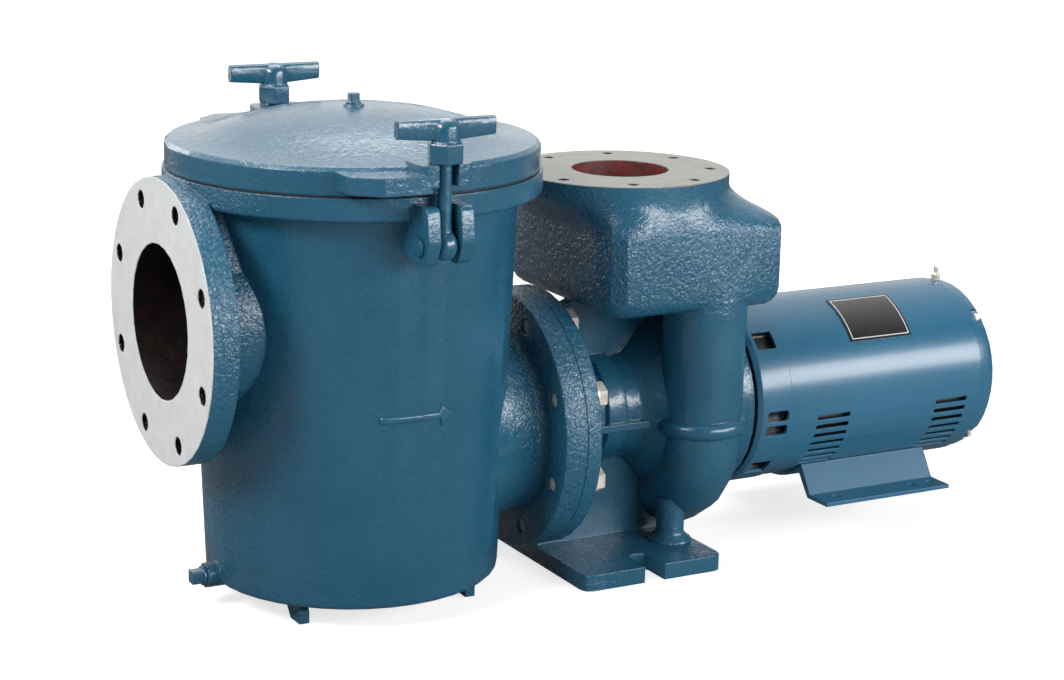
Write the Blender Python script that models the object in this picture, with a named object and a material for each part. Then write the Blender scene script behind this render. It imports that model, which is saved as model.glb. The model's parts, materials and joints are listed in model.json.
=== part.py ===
# Commercial pool pump: a close-coupled cast-iron pump with its strainer pot, and its motor.
# Metres, +Z up. +X runs from the suction flange to the motor, and the pot's front is at -Y.
# The origin is on the floor under the shaft, at the middle of the pump foot.

import math

import bmesh
import bpy
from mathutils import Matrix, Vector

# Clearances
SEAT_GAP = 0.0003            # between faces that are bolted or rest together
THREAD_GAP = 0.0003          # round a screwed plug or a bolt in its nut
PIN_GAP = 0.0003             # round a pin in its eye
HOLE_GAP = 0.0004            # round a bolt shank in its hole

# Centre lines
SHAFT_HEIGHT = 0.157
DISCHARGE_X = 0.0205
VOLUTE_X = 0.084             # middle plane of the volute
POT_RING_TOP = 0.4347        # the strainer pot's machined top, under the gasket

# Discharge flange, 4 inch class 125
DISCHARGE_HEIGHT = 0.4110
DISCHARGE_RADIUS = 0.1143
DISCHARGE_THICKNESS = 0.0125  # of the rim, above the sloping top of the box
DISCHARGE_BORE_RADIUS = 0.0508
DISCHARGE_BOLT_CIRCLE = 0.09525
DISCHARGE_HOLE_RADIUS = 0.0060
DISCHARGE_HOLE_DEPTH = 0.019
FLANGE_BOLTS = 8

# Strainer pot, all from the size of its mouth
POT_MOUTH_RADIUS = 0.1505
POT_WALL = 0.010
POT_FLOOR = 0.012
POT_BASE_Z = 0.0237
POT_RING_WIDTH = 0.0362      # of the machined ring, from the mouth outwards
POT_RING_HEIGHT = 0.0223
POT_NECK_STEP = 0.0237       # how far the ring stands out of the wall under it
POT_TAPER = 0.0150           # how much wider the pot is under its ring than at its base
POT_RING_RADIUS = POT_MOUTH_RADIUS + POT_RING_WIDTH
POT_NECK_RADIUS = POT_RING_RADIUS - POT_NECK_STEP
POT_BASE_RADIUS = POT_NECK_RADIUS - POT_TAPER
POT_FLANGE_GAP = 0.0045      # air between the ring and the discharge flange
POT_X = DISCHARGE_X - DISCHARGE_RADIUS - POT_FLANGE_GAP - POT_RING_RADIUS
POT_LEG_X = 0.091            # leg offset from the pot's axis, along and across
POT_LEG_Y = 0.088
POT_LEG_THICKNESS = 0.0105
POT_LEG_LENGTH = 0.046
DRAIN_HEIGHT = 0.0325
DRAIN_BOSS_RADIUS = 0.0125
DRAIN_BOSS_REACH = 0.012     # how far the boss stands out of the wall
DRAIN_THREAD_RADIUS = 0.0075
DRAIN_SQUARE = 0.013
DRAIN_HEAD_LENGTH = 0.014

# Suction flange, 6 inch class 125
SUCTION_REACH = 0.2030       # from the pot's axis to the flange's face
SUCTION_FACE_X = POT_X - SUCTION_REACH
SUCTION_RADIUS = 0.1397
SUCTION_HEIGHT = POT_RING_TOP - SUCTION_RADIUS - SEAT_GAP
SUCTION_THICKNESS = 0.0265
SUCTION_BORE_RADIUS = 0.0762
SUCTION_BOLT_CIRCLE = 0.12065
SUCTION_HOLE_RADIUS = 0.0094
SUCTION_NECK_RADIUS = 0.0895
SUCTION_WEB_TOP_HALF = 0.042
SUCTION_NECK_SINK = 0.75     # share of the pot's radius where a neck's solid ends

# Joint between the pot and the volute
OUTLET_RADIUS = 0.1358
OUTLET_SEAM_X = -0.088
POT_OUTLET_THICKNESS = 0.0251
CASING_INLET_THICKNESS = 0.0174
OUTLET_BORE_RADIUS = 0.052
OUTLET_NECK_RADIUS = 0.098
OUTLET_BOLT_CIRCLE = 0.115
OUTLET_BOLTS = 8
BOLT_RADIUS = 0.0079
BOLT_ACROSS_FLATS = 0.0245
BOLT_HEAD_HEIGHT = 0.0115
WASHER_RADIUS = 0.0160
WASHER_THICKNESS = 0.0028
BOLT_END_INSET = 0.003

# Lid, its gasket and vent plug
GASKET_THICKNESS = 0.0018
GASKET_RADIUS = POT_RING_RADIUS - 0.0032
LID_RADIUS = POT_RING_RADIUS - 0.0027
LID_RIM_HEIGHT = 0.0262
LID_DOME_HEIGHT = 0.0300     # rise of the dome above the rim's top
LID_DOME_POWER = 2.5         # above 2 the dome is flatter in the middle
LID_WALL = 0.012
LID_SPIGOT_DEPTH = 0.006
LID_LUG_TOP = POT_RING_TOP + 0.0326
LID_LUG_REACH = 0.0245       # how far a lug stands out of the rim
LID_LUG_EAR = 0.0165
LID_LUG_ROUND = 0.0080
LID_SLOT_WIDTH = 0.0196
LID_LEDGE_LENGTH = 0.0897
LID_LEDGE_TOP = POT_RING_TOP + 0.0238
LID_LEDGE_REACH = 0.024
LID_LEDGE_HEIGHT = 0.017
LID_LEDGE_ROOT = 0.057       # how far inside the rim the ledge's end reaches
VENT_PLUG_RADIUS = 0.0075
VENT_SQUARE = 0.0096
VENT_BOSS_WALL = 0.0028
VENT_PLUG_HEIGHT = 0.0125

# Swing bolts and their T handles
SWING_BOLT_Y = POT_RING_RADIUS + 0.0133    # distance of each bolt from the pot's axis
SWING_BOLT_RADIUS = 0.0065
SWING_PIVOT_Z = POT_RING_TOP - 0.0430
SWING_EYE_RADIUS = 0.0145
SWING_EYE_WIDTH = 0.0172
SWING_EYE_ROUND = 0.0060
CLEVIS_GAP = 0.0215
CLEVIS_EAR = 0.0130
CLEVIS_BOTTOM = SWING_PIVOT_Z - 0.0197
CLEVIS_TOP = SWING_PIVOT_Z + 0.0373
CLEVIS_REACH = SWING_BOLT_Y + 0.0160     # outer end of the ears from the pot's axis
CLEVIS_PIN_RADIUS = 0.0060
CLEVIS_PIN_HEAD = 0.0085
NUT_SEAT_GAP = 0.0011        # a nut's clearance over its lug, so that it swings off
NUT_ACROSS_FLATS = 0.0304
NUT_HEIGHT = 0.0205
NUT_TURN = math.radians(11)
HANDLE_LENGTH = 0.099
HANDLE_HEIGHT = 0.0175        # at the ends of the arms
HANDLE_SWELL = 0.22          # how much taller the arms are at the hub
HANDLE_THICKNESS = 0.0120
HANDLE_TAPER = 0.2           # how much thinner the arms are at their ends
HANDLE_HUB_RADIUS = 0.0140
HANDLE_TOP_Z = LID_LUG_TOP + 0.0430
SWING_BOLT_TOP = HANDLE_TOP_Z - 0.0118

# Strainer basket
BASKET_RADIUS = POT_MOUTH_RADIUS - 0.0205
BASKET_TAPER = 0.008
BASKET_WALL = 0.0025
BASKET_TOP = POT_RING_TOP - 0.0187
BASKET_RIM = 0.0100
BASKET_WINDOW_RADIUS = 0.0840

# Volute and discharge box
VOLUTE_RADIUS = 0.100
VOLUTE_HALF_WIDTH = 0.040
SCROLL_RADIUS_START = 0.0430
SCROLL_RADIUS_END = 0.0260
SCROLL_REACH_START = 0.1180
SCROLL_REACH_END = 0.1030
SCROLL_SWELL = 0.0225        # extra reach of the bowl below the throat
SCROLL_FATTEN = 0.0025       # extra radius there
SCROLL_SWEEP = math.radians(290)
PIPE_TOP_RADIUS = 0.0450
PIPE_FADE = 0.0050           # how far the pipe shrinks into the front of the box
PIPE_WALL = 0.009
BEAD_RADIUS = 0.0500
BEAD_HEIGHT = 0.0180
BEAD_Z = 0.1480
RIB_THICKNESS = 0.0080
BOX_X = 0.0540
BOX_HALF_LENGTH = 0.1080
BOX_FRONT_Y = -0.1180
BOX_BACK_Y = 0.1180
BOX_BOTTOM = 0.2755
BOX_SHOULDER = 0.3580        # where the sides end and the sloping top begins
BOX_EDGE = 0.0210
BOX_CORNER = 0.0280
BOX_SIDES = 48
BOX_SLOPE_STEPS = 7
BOX_WALL = 0.011
CASING_HUB_RADIUS = 0.0540
CASING_HUB_BAND = 0.0590

# Pump foot
FOOT_HALF_LENGTH = 0.0832
FOOT_HALF_WIDTH = 0.1290
FOOT_THICKNESS = 0.0172
FOOT_SLOT_WIDTH = 0.0237
FOOT_SLOT_DEPTH = 0.0400
PEDESTAL_HALF_WIDTH = 0.0200
PEDESTAL_TOP_HALF = 0.0140
TOP_WEB_THICKNESS = 0.0140   # web between the hub and the discharge box
NECK_X = 0.0600              # the short post between the bowl and the foot
NECK_Y = -0.0600
NECK_RADIUS = 0.0150

# Motor
ADAPTER_START_X = 0.1335
ADAPTER_RADIUS = 0.0860
MOTOR_FRONT_X = 0.1410
MOTOR_RADIUS = 0.0990
BELL_RIM_RADIUS = 0.1004
FRONT_BELL_LENGTH = 0.0430
SHELL_LENGTH = 0.2560
REAR_BELL_LENGTH = 0.0230
REAR_BELL_ROUND = 0.0120
REAR_DISH_RADIUS = 0.0600    # the shallow dish in the end of the rear bell
REAR_DISH_SLOPE = 0.0050
REAR_DISH_DEPTH = 0.0060
THROUGH_BOLT_CIRCLE = 0.0910
POCKET_START = 0.0100        # bolt pockets in the front bell, from its face
POCKET_LENGTH = 0.0240
REAR_POCKET_START = 0.0080
THROUGH_BOLT_RADIUS = 0.0045
THROUGH_BOLT_HEAD = 0.0050
LOUVRE_LENGTH = 0.0430
LOUVRE_HEIGHT = 0.0055
LOUVRE_DEPTH = 0.0080
LOUVRE_PITCH = math.radians(6.6)
LOUVRE_FIRST = math.radians(99)
FRONT_LOUVRES = 8
REAR_LOUVRES = 7
FRONT_LOUVRE_X = 0.2410
REAR_LOUVRE_X = 0.4000
VENT_LENGTH = 0.0360
VENT_HEIGHT = 0.0120
MOTOR_FOOT_X = 0.3090
MOTOR_FOOT_LENGTH = 0.1660
MOTOR_FOOT_HALF_WIDTH = 0.1130
MOTOR_FOOT_UNDERSIDE = 0.0450
MOTOR_FOOT_SHEET = 0.0042
MOTOR_FOOT_HOLE_Y = 0.09525
MOTOR_FOOT_KNEE = 0.0810      # where a riser meets its flat foot
MOTOR_FOOT_HOLD = math.radians(36)
MOTOR_FOOT_HOLE_RADIUS = 0.0052
MOTOR_FOOT_HOLES = (-0.0572, 0.0445, 0.0699)
LABEL_OFFSET = 0.0880        # from the shell's front edge to the label's
LABEL_LENGTH = 0.0810
LABEL_FIRST = math.radians(17)
LABEL_SWEEP = math.radians(36)
LABEL_THICKNESS = 0.0008
GREASE_BODY_RADIUS = 0.0050
GREASE_HEIGHT = 0.0170
CONDUIT_LENGTH = 0.1000
CONDUIT_HEIGHT = 0.0860
CONDUIT_REACH = 0.1440
CONDUIT_COVER = 0.0060
CONDUIT_CORNER = 0.0080

ROUND = 40                   # facets round a large casting
MIDDLE = 28
SMALL = 14
SCROLL_SIDES = 20
MERGE = 0.000005             # points closer than this are one point


def clear_scene():
    for item in list(bpy.data.objects):
        bpy.data.objects.remove(item, do_unlink=True)
    for mesh in list(bpy.data.meshes):
        bpy.data.meshes.remove(mesh)


def finish(name, colour, roughness, metallic=0.0):
    # One Principled material, in the colour that the part shows
    mat = bpy.data.materials.new(name)
    mat.use_nodes = True
    shader = mat.node_tree.nodes["Principled BSDF"]
    shader.inputs["Base Color"].default_value = (*colour, 1.0)
    shader.inputs["Roughness"].default_value = roughness
    shader.inputs["Metallic"].default_value = metallic
    mat.diffuse_color = (*colour, 1.0)
    return mat


# Outlines and profiles

def filleted(points, steps=4):
    # Points are (u, v) or (u, v, radius); a corner with a radius becomes an arc
    result = []
    count = len(points)
    for i, point in enumerate(points):
        here = Vector(point[:2])
        radius = point[2] if len(point) > 2 else 0.0
        if radius <= 0.0:
            result.append(tuple(here))
            continue
        before = (Vector(points[i - 1][:2]) - here).normalized()
        after = (Vector(points[(i + 1) % count][:2]) - here).normalized()
        half = before.angle(after) / 2
        reach = radius / math.tan(half)
        centre = here + (before + after).normalized() * (radius / math.sin(half))
        first = here + before * reach - centre
        last = here + after * reach - centre
        swing = first.angle_signed(last)
        for step in range(steps + 1):
            arm = first.copy()
            arm.rotate(Matrix.Rotation(-swing * step / steps, 2))
            result.append(tuple(centre + arm))
    return result


def rounded_box(half_u, half_v, radius, steps=4, centre=(0.0, 0.0)):
    cu, cv = centre
    corners = [(cu - half_u, cv - half_v, radius), (cu + half_u, cv - half_v, radius),
               (cu + half_u, cv + half_v, radius), (cu - half_u, cv + half_v, radius)]
    return filleted(corners, steps)


# Solids as bmeshes, each closed with its faces pointing out

def facing_out(bm):
    bm.normal_update()
    bmesh.ops.recalc_face_normals(bm, faces=bm.faces)
    return bm


def turned(profile, segments, along_x=False, at=(0.0, 0.0, 0.0), closed=False):
    # Spins a (radius, height) profile about +Z, or about +X
    bm = bmesh.new()
    verts = [bm.verts.new((r, 0.0, h)) for r, h in profile]
    edges = [bm.edges.new(pair) for pair in zip(verts, verts[1:])]
    if closed:
        edges.append(bm.edges.new((verts[-1], verts[0])))
    bmesh.ops.spin(bm, geom=verts + edges, cent=(0, 0, 0), axis=(0, 0, 1),
                   angle=2 * math.pi, steps=segments, use_merge=True)
    bmesh.ops.remove_doubles(bm, verts=bm.verts, dist=1e-6)
    if along_x:
        bmesh.ops.rotate(bm, verts=bm.verts, matrix=Matrix.Rotation(math.pi / 2, 3, "Y"))
    bmesh.ops.translate(bm, verts=bm.verts, vec=Vector(at))
    return facing_out(bm)


def extruded(outline, low, high, plane="XY"):
    # Extrudes an outline between two levels of the axis that its plane leaves out
    bm = bmesh.new()
    face = bm.faces.new([bm.verts.new((u, v, low)) for u, v in outline])
    made = bmesh.ops.extrude_face_region(bm, geom=[face])["geom"]
    top = [item for item in made if isinstance(item, bmesh.types.BMVert)]
    bmesh.ops.translate(bm, verts=top, vec=(0, 0, high - low))
    turn = {"XY": Matrix.Identity(3),
            "YZ": Matrix(((0, 0, 1), (1, 0, 0), (0, 1, 0))),
            "XZ": Matrix(((1, 0, 0), (0, 0, 1), (0, 1, 0)))}[plane]
    for v in bm.verts:
        v.co = turn @ v.co
    return facing_out(bm)


def lofted(rings):
    # Skins rings of equal length and caps the two ends
    bm = bmesh.new()
    rows = [[bm.verts.new(point) for point in ring] for ring in rings]
    for low, high in zip(rows, rows[1:]):
        for i in range(len(low)):
            j = (i + 1) % len(low)
            bm.faces.new((low[i], low[j], high[j], high[i]))
    bm.faces.new(rows[0])
    bm.faces.new(rows[-1])
    return facing_out(bm)


def cylinder(radius, low, high, segments, along_x=False, at=(0.0, 0.0, 0.0)):
    return turned([(0.0, low), (radius, low), (radius, high), (0.0, high)], segments, along_x, at)


def moved(bm, vec=(0, 0, 0), turn=None, about=(0, 0, 0)):
    if turn is not None:
        bmesh.ops.rotate(bm, verts=bm.verts, cent=about, matrix=turn)
    bmesh.ops.translate(bm, verts=bm.verts, vec=vec)
    return bm


def placed(name, bm, mat=None, sharp=40.0, origin=None):
    # Puts a bmesh in the scene as an object, with its origin on a joint axis where one is given
    mesh = bpy.data.meshes.new(name)
    if origin is not None:
        bmesh.ops.translate(bm, verts=bm.verts, vec=-Vector(origin))
    bm.to_mesh(mesh)
    bm.free()
    if mat is not None:
        mesh.materials.append(mat)
    mesh.shade_smooth()
    mesh.set_sharp_from_angle(angle=math.radians(sharp))
    item = bpy.data.objects.new(name, mesh)
    if origin is not None:
        item.location = origin
    bpy.context.collection.objects.link(item)
    return item


def evaluated_mesh(item):
    bpy.context.view_layer.update()
    seen = item.evaluated_get(bpy.context.evaluated_depsgraph_get())
    return bpy.data.meshes.new_from_object(seen)


def swap_mesh(item, bm, mesh):
    bm.to_mesh(mesh)
    bm.free()
    old = item.data
    item.data = mesh
    bpy.data.meshes.remove(old)


def carved(name, base, joins, cuts, mat, sharp=40.0):
    # Fuses the joining solids into the base, then takes the cutting solids out of it
    item = placed(name, base, mat, sharp)
    for kind, solids in (("UNION", joins), ("DIFFERENCE", cuts)):
        for solid in solids:
            tool = placed(name + "_tool", solid)
            step = item.modifiers.new(kind.lower(), "BOOLEAN")
            step.operation = kind
            step.solver = "EXACT"
            step.object = tool
            mesh = evaluated_mesh(item)
            item.modifiers.remove(step)
            bpy.data.meshes.remove(tool.data)
            clean = bmesh.new()
            clean.from_mesh(mesh)
            bmesh.ops.remove_doubles(clean, verts=clean.verts, dist=MERGE)
            bmesh.ops.dissolve_degenerate(clean, edges=clean.edges, dist=MERGE)
            swap_mesh(item, clean, mesh)
    flat = bmesh.new()
    flat.from_mesh(item.data)
    bmesh.ops.dissolve_limit(flat, angle_limit=math.radians(0.5), verts=flat.verts, edges=flat.edges)
    bmesh.ops.triangulate(flat, faces=flat.faces)
    swap_mesh(item, flat, bpy.data.meshes.new(name))
    if mat is not None and not item.data.materials:
        item.data.materials.append(mat)
    item.data.shade_smooth()
    item.data.set_sharp_from_angle(angle=math.radians(sharp))
    return item


def hole_ring(count, circle, radius, low, high, along_x, at, phase=0.5, segments=10):
    # Cutters for a bolt circle whose holes straddle the centre lines
    cutters = []
    for i in range(count):
        angle = 2 * math.pi * (i + phase) / count
        u, v = circle * math.cos(angle), circle * math.sin(angle)
        offset = (0.0, u, v) if along_x else (u, v, 0.0)
        place = Vector(at) + Vector(offset)
        cutters.append(cylinder(radius, low, high, segments, along_x, place))
    return cutters


# Strainer pot

def pot_outer_radius(z):
    slope = (POT_NECK_RADIUS - POT_BASE_RADIUS) / (POT_RING_TOP - POT_RING_HEIGHT - POT_BASE_Z)
    return POT_BASE_RADIUS + slope * (z - POT_BASE_Z)


def pot_outside():
    ring_base = POT_RING_TOP - POT_RING_HEIGHT
    return filleted([(0.0, POT_BASE_Z), (POT_BASE_RADIUS, POT_BASE_Z, 0.006),
                     (POT_NECK_RADIUS, ring_base, 0.009), (POT_RING_RADIUS, ring_base, 0.003),
                     (POT_RING_RADIUS, POT_RING_TOP), (0.0, POT_RING_TOP)], 3)


def pot_inside():
    ring_base = POT_RING_TOP - POT_RING_HEIGHT
    floor_top = POT_BASE_Z + POT_FLOOR
    return filleted([(0.0, floor_top), (pot_outer_radius(floor_top) - POT_WALL, floor_top, 0.012),
                     (POT_MOUTH_RADIUS, ring_base), (POT_MOUTH_RADIUS, POT_RING_TOP + 0.010),
                     (0.0, POT_RING_TOP + 0.010)], 3)


def suction_web():
    # The web behind the flange widens from the pot's ring down to the round neck
    top = POT_RING_TOP - POT_RING_HEIGHT + 0.004
    start = SUCTION_FACE_X + SUCTION_THICKNESS / 2
    end = POT_X - pot_outer_radius(SUCTION_HEIGHT) * SUCTION_NECK_SINK
    lean = math.radians(40)
    across = SUCTION_NECK_RADIUS * math.cos(lean)
    rise = SUCTION_NECK_RADIUS * math.sin(lean)
    outline = [(-across, SUCTION_HEIGHT + rise), (across, SUCTION_HEIGHT + rise),
               (SUCTION_WEB_TOP_HALF, top), (-SUCTION_WEB_TOP_HALF, top)]
    return extruded(outline, start, end, "YZ")


def pot_leg(side_x, side_y):
    # A gusset that slopes up and inward from its foot to the pot's floor
    inner = POT_LEG_Y - POT_LEG_LENGTH
    outline = [(side_y * POT_LEG_Y, 0.0), (side_y * POT_LEG_Y, 0.012),
               (side_y * (POT_LEG_Y - 0.010), POT_BASE_Z + 0.004), (side_y * inner, POT_BASE_Z + 0.004),
               (side_y * (POT_LEG_Y - 0.022), 0.0)]
    middle = POT_X + side_x * POT_LEG_X
    half = POT_LEG_THICKNESS / 2
    return extruded(outline, middle - half, middle + half, "YZ")


def clevis_ears(side):
    # Two ears that carry a swing bolt's pin, fused to the pot's wall and ring
    inside = (POT_NECK_RADIUS - 0.006) * side
    outside = CLEVIS_REACH * side
    eye = (SWING_BOLT_Y * side, SWING_PIVOT_Z)
    ring = (POT_RING_RADIUS - 0.004) * side
    outline = filleted([(inside, CLEVIS_BOTTOM + 0.010), (outside - side * 0.010, CLEVIS_BOTTOM, 0.010),
                        (outside, eye[1] + 0.004, 0.010), (outside - side * 0.004, CLEVIS_TOP, 0.006),
                        (ring, CLEVIS_TOP), (inside, CLEVIS_TOP - 0.012)], 3)
    ears = []
    for hand in (-1, 1):
        near = POT_X + hand * CLEVIS_GAP / 2
        far = POT_X + hand * (CLEVIS_GAP / 2 + CLEVIS_EAR)
        ears.append(extruded(outline, min(near, far), max(near, far), "YZ"))
    return ears


def make_pot(enamel):
    neck_end = POT_X - pot_outer_radius(SUCTION_HEIGHT) * SUCTION_NECK_SINK
    suction = (0.0, 0.0, SUCTION_HEIGHT)
    outlet = (0.0, 0.0, SHAFT_HEIGHT)
    outlet_back = OUTLET_SEAM_X - POT_OUTLET_THICKNESS
    outlet_start = POT_X + pot_outer_radius(SHAFT_HEIGHT) * 0.70
    flange = turned([(0.0, SUCTION_FACE_X), (SUCTION_RADIUS, SUCTION_FACE_X),
                     (SUCTION_RADIUS, SUCTION_FACE_X + SUCTION_THICKNESS),
                     (0.0, SUCTION_FACE_X + SUCTION_THICKNESS)], ROUND, True, suction)
    neck = cylinder(SUCTION_NECK_RADIUS, SUCTION_FACE_X + SUCTION_THICKNESS / 2, neck_end, MIDDLE,
                    True, suction)
    outlet_hub = turned(filleted([(0.0, outlet_start), (OUTLET_NECK_RADIUS + 0.012, outlet_start),
                                  (OUTLET_NECK_RADIUS, outlet_back - 0.012, 0.008),
                                  (OUTLET_NECK_RADIUS, outlet_back + 0.004),
                                  (0.0, outlet_back + 0.004)], 3), MIDDLE, True, outlet)
    outlet_flange = turned(filleted([(0.0, outlet_back), (OUTLET_RADIUS, outlet_back, 0.003),
                                     (OUTLET_RADIUS, OUTLET_SEAM_X - SEAT_GAP),
                                     (0.0, OUTLET_SEAM_X - SEAT_GAP)], 2), ROUND, True, outlet)
    boss_x = POT_X - pot_outer_radius(DRAIN_HEIGHT)
    drain = (0.0, 0.0, DRAIN_HEIGHT)
    drain_boss = cylinder(DRAIN_BOSS_RADIUS, boss_x - DRAIN_BOSS_REACH, boss_x + POT_WALL, SMALL,
                          True, drain)
    joins = [flange, neck, suction_web(), outlet_hub, outlet_flange, drain_boss]
    joins += [pot_leg(sx, sy) for sx in (-1, 1) for sy in (-1, 1)]
    for side in (-1, 1):
        joins += clevis_ears(side)
    axis = (POT_X, 0.0, 0.0)
    cuts = [turned(pot_inside(), ROUND, False, axis),
            cylinder(SUCTION_BORE_RADIUS, SUCTION_FACE_X - 0.01, POT_X - BASKET_RADIUS / 2, MIDDLE,
                     True, suction),
            cylinder(OUTLET_BORE_RADIUS, POT_X + BASKET_RADIUS / 2, OUTLET_SEAM_X + 0.01, MIDDLE,
                     True, outlet),
            cylinder(DRAIN_THREAD_RADIUS + THREAD_GAP, boss_x - 2 * DRAIN_BOSS_REACH, boss_x - 0.002, SMALL,
                     True, drain)]
    cuts += hole_ring(FLANGE_BOLTS, SUCTION_BOLT_CIRCLE, SUCTION_HOLE_RADIUS, SUCTION_FACE_X - 0.005,
                      SUCTION_FACE_X + SUCTION_THICKNESS + 0.0004, True, suction)
    cuts += hole_ring(OUTLET_BOLTS, OUTLET_BOLT_CIRCLE, BOLT_RADIUS + HOLE_GAP,
                      outlet_back - 0.005, OUTLET_SEAM_X + 0.005, True, outlet)
    for side in (-1, 1):
        ends = CLEVIS_GAP / 2 + CLEVIS_EAR + 0.01
        cuts.append(cylinder(CLEVIS_PIN_RADIUS + PIN_GAP, POT_X - ends, POT_X + ends, SMALL, True,
                             (0.0, side * SWING_BOLT_Y, SWING_PIVOT_Z)))
    base = turned(pot_outside(), ROUND, False, axis)
    return carved("strainer_pot", base, joins, cuts, enamel)


def make_basket(steel):
    base_z = POT_BASE_Z + POT_FLOOR + SEAT_GAP
    low = BASKET_RADIUS - BASKET_TAPER
    profile = [(0.0, base_z), (low, base_z), (BASKET_RADIUS, BASKET_TOP - BASKET_WALL),
               (BASKET_RADIUS + BASKET_RIM, BASKET_TOP - BASKET_WALL),
               (BASKET_RADIUS + BASKET_RIM, BASKET_TOP), (BASKET_RADIUS - BASKET_WALL, BASKET_TOP),
               (low - BASKET_WALL, base_z + BASKET_WALL), (0.0, base_z + BASKET_WALL)]
    shell = turned(profile, MIDDLE, False, (POT_X, 0.0, 0.0))
    window = cylinder(BASKET_WINDOW_RADIUS, POT_X - BASKET_RADIUS - 0.02, POT_X - BASKET_RADIUS / 4,
                      MIDDLE, True, (0.0, 0.0, SUCTION_HEIGHT))
    return carved("strainer_basket", shell, [], [window], steel)


# Lid

def lid_base():
    return POT_RING_TOP + GASKET_THICKNESS


def make_gasket(rubber):
    low = POT_RING_TOP + SEAT_GAP
    high = lid_base() - SEAT_GAP
    ring = turned([(POT_MOUTH_RADIUS + 0.002, low), (GASKET_RADIUS, low), (GASKET_RADIUS, high),
                   (POT_MOUTH_RADIUS + 0.002, high)], ROUND, False, (POT_X, 0.0, 0.0), closed=True)
    return placed("lid_gasket", ring, rubber)


def lid_profile():
    base = lid_base()
    rim = base + LID_RIM_HEIGHT
    top = rim + LID_DOME_HEIGHT
    spigot = POT_MOUTH_RADIUS - 0.0015
    # The raised band, the shallow dish inside it, then the dome as a circular arc
    crown = LID_RADIUS - 0.034
    outside = [(LID_RADIUS, base), (LID_RADIUS, rim - 0.004), (LID_RADIUS - 0.004, rim),
               (crown, rim + 0.003)]
    steps = 5
    for i in range(1, steps + 1):
        share = i / steps
        radius = crown * (1 - share)
        rise = (LID_DOME_HEIGHT - 0.003) * (1 - (1 - share) ** LID_DOME_POWER)
        outside.append((radius, rim + 0.003 + rise))
    inside = [(0.0, top - LID_WALL), (spigot * 0.55, top - LID_WALL - LID_DOME_HEIGHT * 0.30),
              (spigot - 0.010, base + 0.004), (spigot - 0.010, base - LID_SPIGOT_DEPTH),
              (spigot, base - LID_SPIGOT_DEPTH), (spigot, base)]
    return inside + outside


def lid_lug(side):
    # Two ears either side of the slot carry the nut, and a ledge runs on along the rim
    outer = LID_RADIUS + LID_LUG_REACH
    inner = LID_RADIUS - 0.012
    half = LID_SLOT_WIDTH / 2 + LID_LUG_EAR
    ears = extruded(filleted([(POT_X - half, side * inner), (POT_X - half, side * outer, LID_LUG_ROUND),
                              (POT_X + half, side * outer, LID_LUG_ROUND),
                              (POT_X + half, side * inner)], 3),
                    lid_base() + 0.010, LID_LUG_TOP)
    reach = LID_RADIUS + LID_LEDGE_REACH
    ledge = extruded(filleted([(POT_X - LID_LEDGE_LENGTH, side * (LID_RADIUS - LID_LEDGE_ROOT)),
                               (POT_X - LID_LEDGE_LENGTH, side * (reach - 0.022), 0.012),
                               (POT_X - LID_LEDGE_LENGTH * 0.72, side * reach, 0.012),
                               (POT_X - LID_SLOT_WIDTH / 2 - 0.004, side * reach, 0.004),
                               (POT_X - LID_SLOT_WIDTH / 2 - 0.004, side * inner)], 3),
                     LID_LEDGE_TOP - LID_LEDGE_HEIGHT, LID_LEDGE_TOP)
    slot = extruded(filleted([(POT_X - LID_SLOT_WIDTH / 2, side * (LID_RADIUS + 0.004), 0.009),
                              (POT_X + LID_SLOT_WIDTH / 2, side * (LID_RADIUS + 0.004), 0.009),
                              (POT_X + LID_SLOT_WIDTH / 2, side * (outer + 0.02)),
                              (POT_X - LID_SLOT_WIDTH / 2, side * (outer + 0.02))], 3),
                    lid_base() - 0.01, LID_LUG_TOP + 0.02)
    return ears, ledge, slot


def make_lid(enamel):
    front = lid_lug(-1)
    rear = lid_lug(1)
    top = lid_base() + LID_RIM_HEIGHT + LID_DOME_HEIGHT
    boss_radius = VENT_PLUG_RADIUS + VENT_BOSS_WALL
    boss = turned([(0.0, top - 0.006), (boss_radius + 0.0015, top - 0.006), (boss_radius, top + 0.002),
                   (0.0, top + 0.002)], SMALL, False, (POT_X, 0.0, 0.0))
    vent = cylinder(VENT_PLUG_RADIUS + THREAD_GAP, top - 0.008, top + 0.02, SMALL, False, (POT_X, 0.0, 0.0))
    base = turned(lid_profile(), ROUND, False, (POT_X, 0.0, 0.0))
    joins = [front[0], front[1], rear[0], rear[1], boss]
    return carved("strainer_lid", base, joins, [front[2], rear[2], vent], enamel)


def make_vent_plug(enamel):
    top = lid_base() + LID_RIM_HEIGHT + LID_DOME_HEIGHT
    thread = cylinder(VENT_PLUG_RADIUS, top - 0.007, top + 0.004, SMALL, False, (POT_X, 0.0, 0.0))
    half = VENT_SQUARE / 2
    square = extruded(rounded_box(half, half, 0.001, 1, (POT_X, 0.0)), top + 0.003,
                      top + VENT_PLUG_HEIGHT)
    return carved("lid_vent_plug", thread, [square], [], enamel)


# Swing bolts

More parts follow.
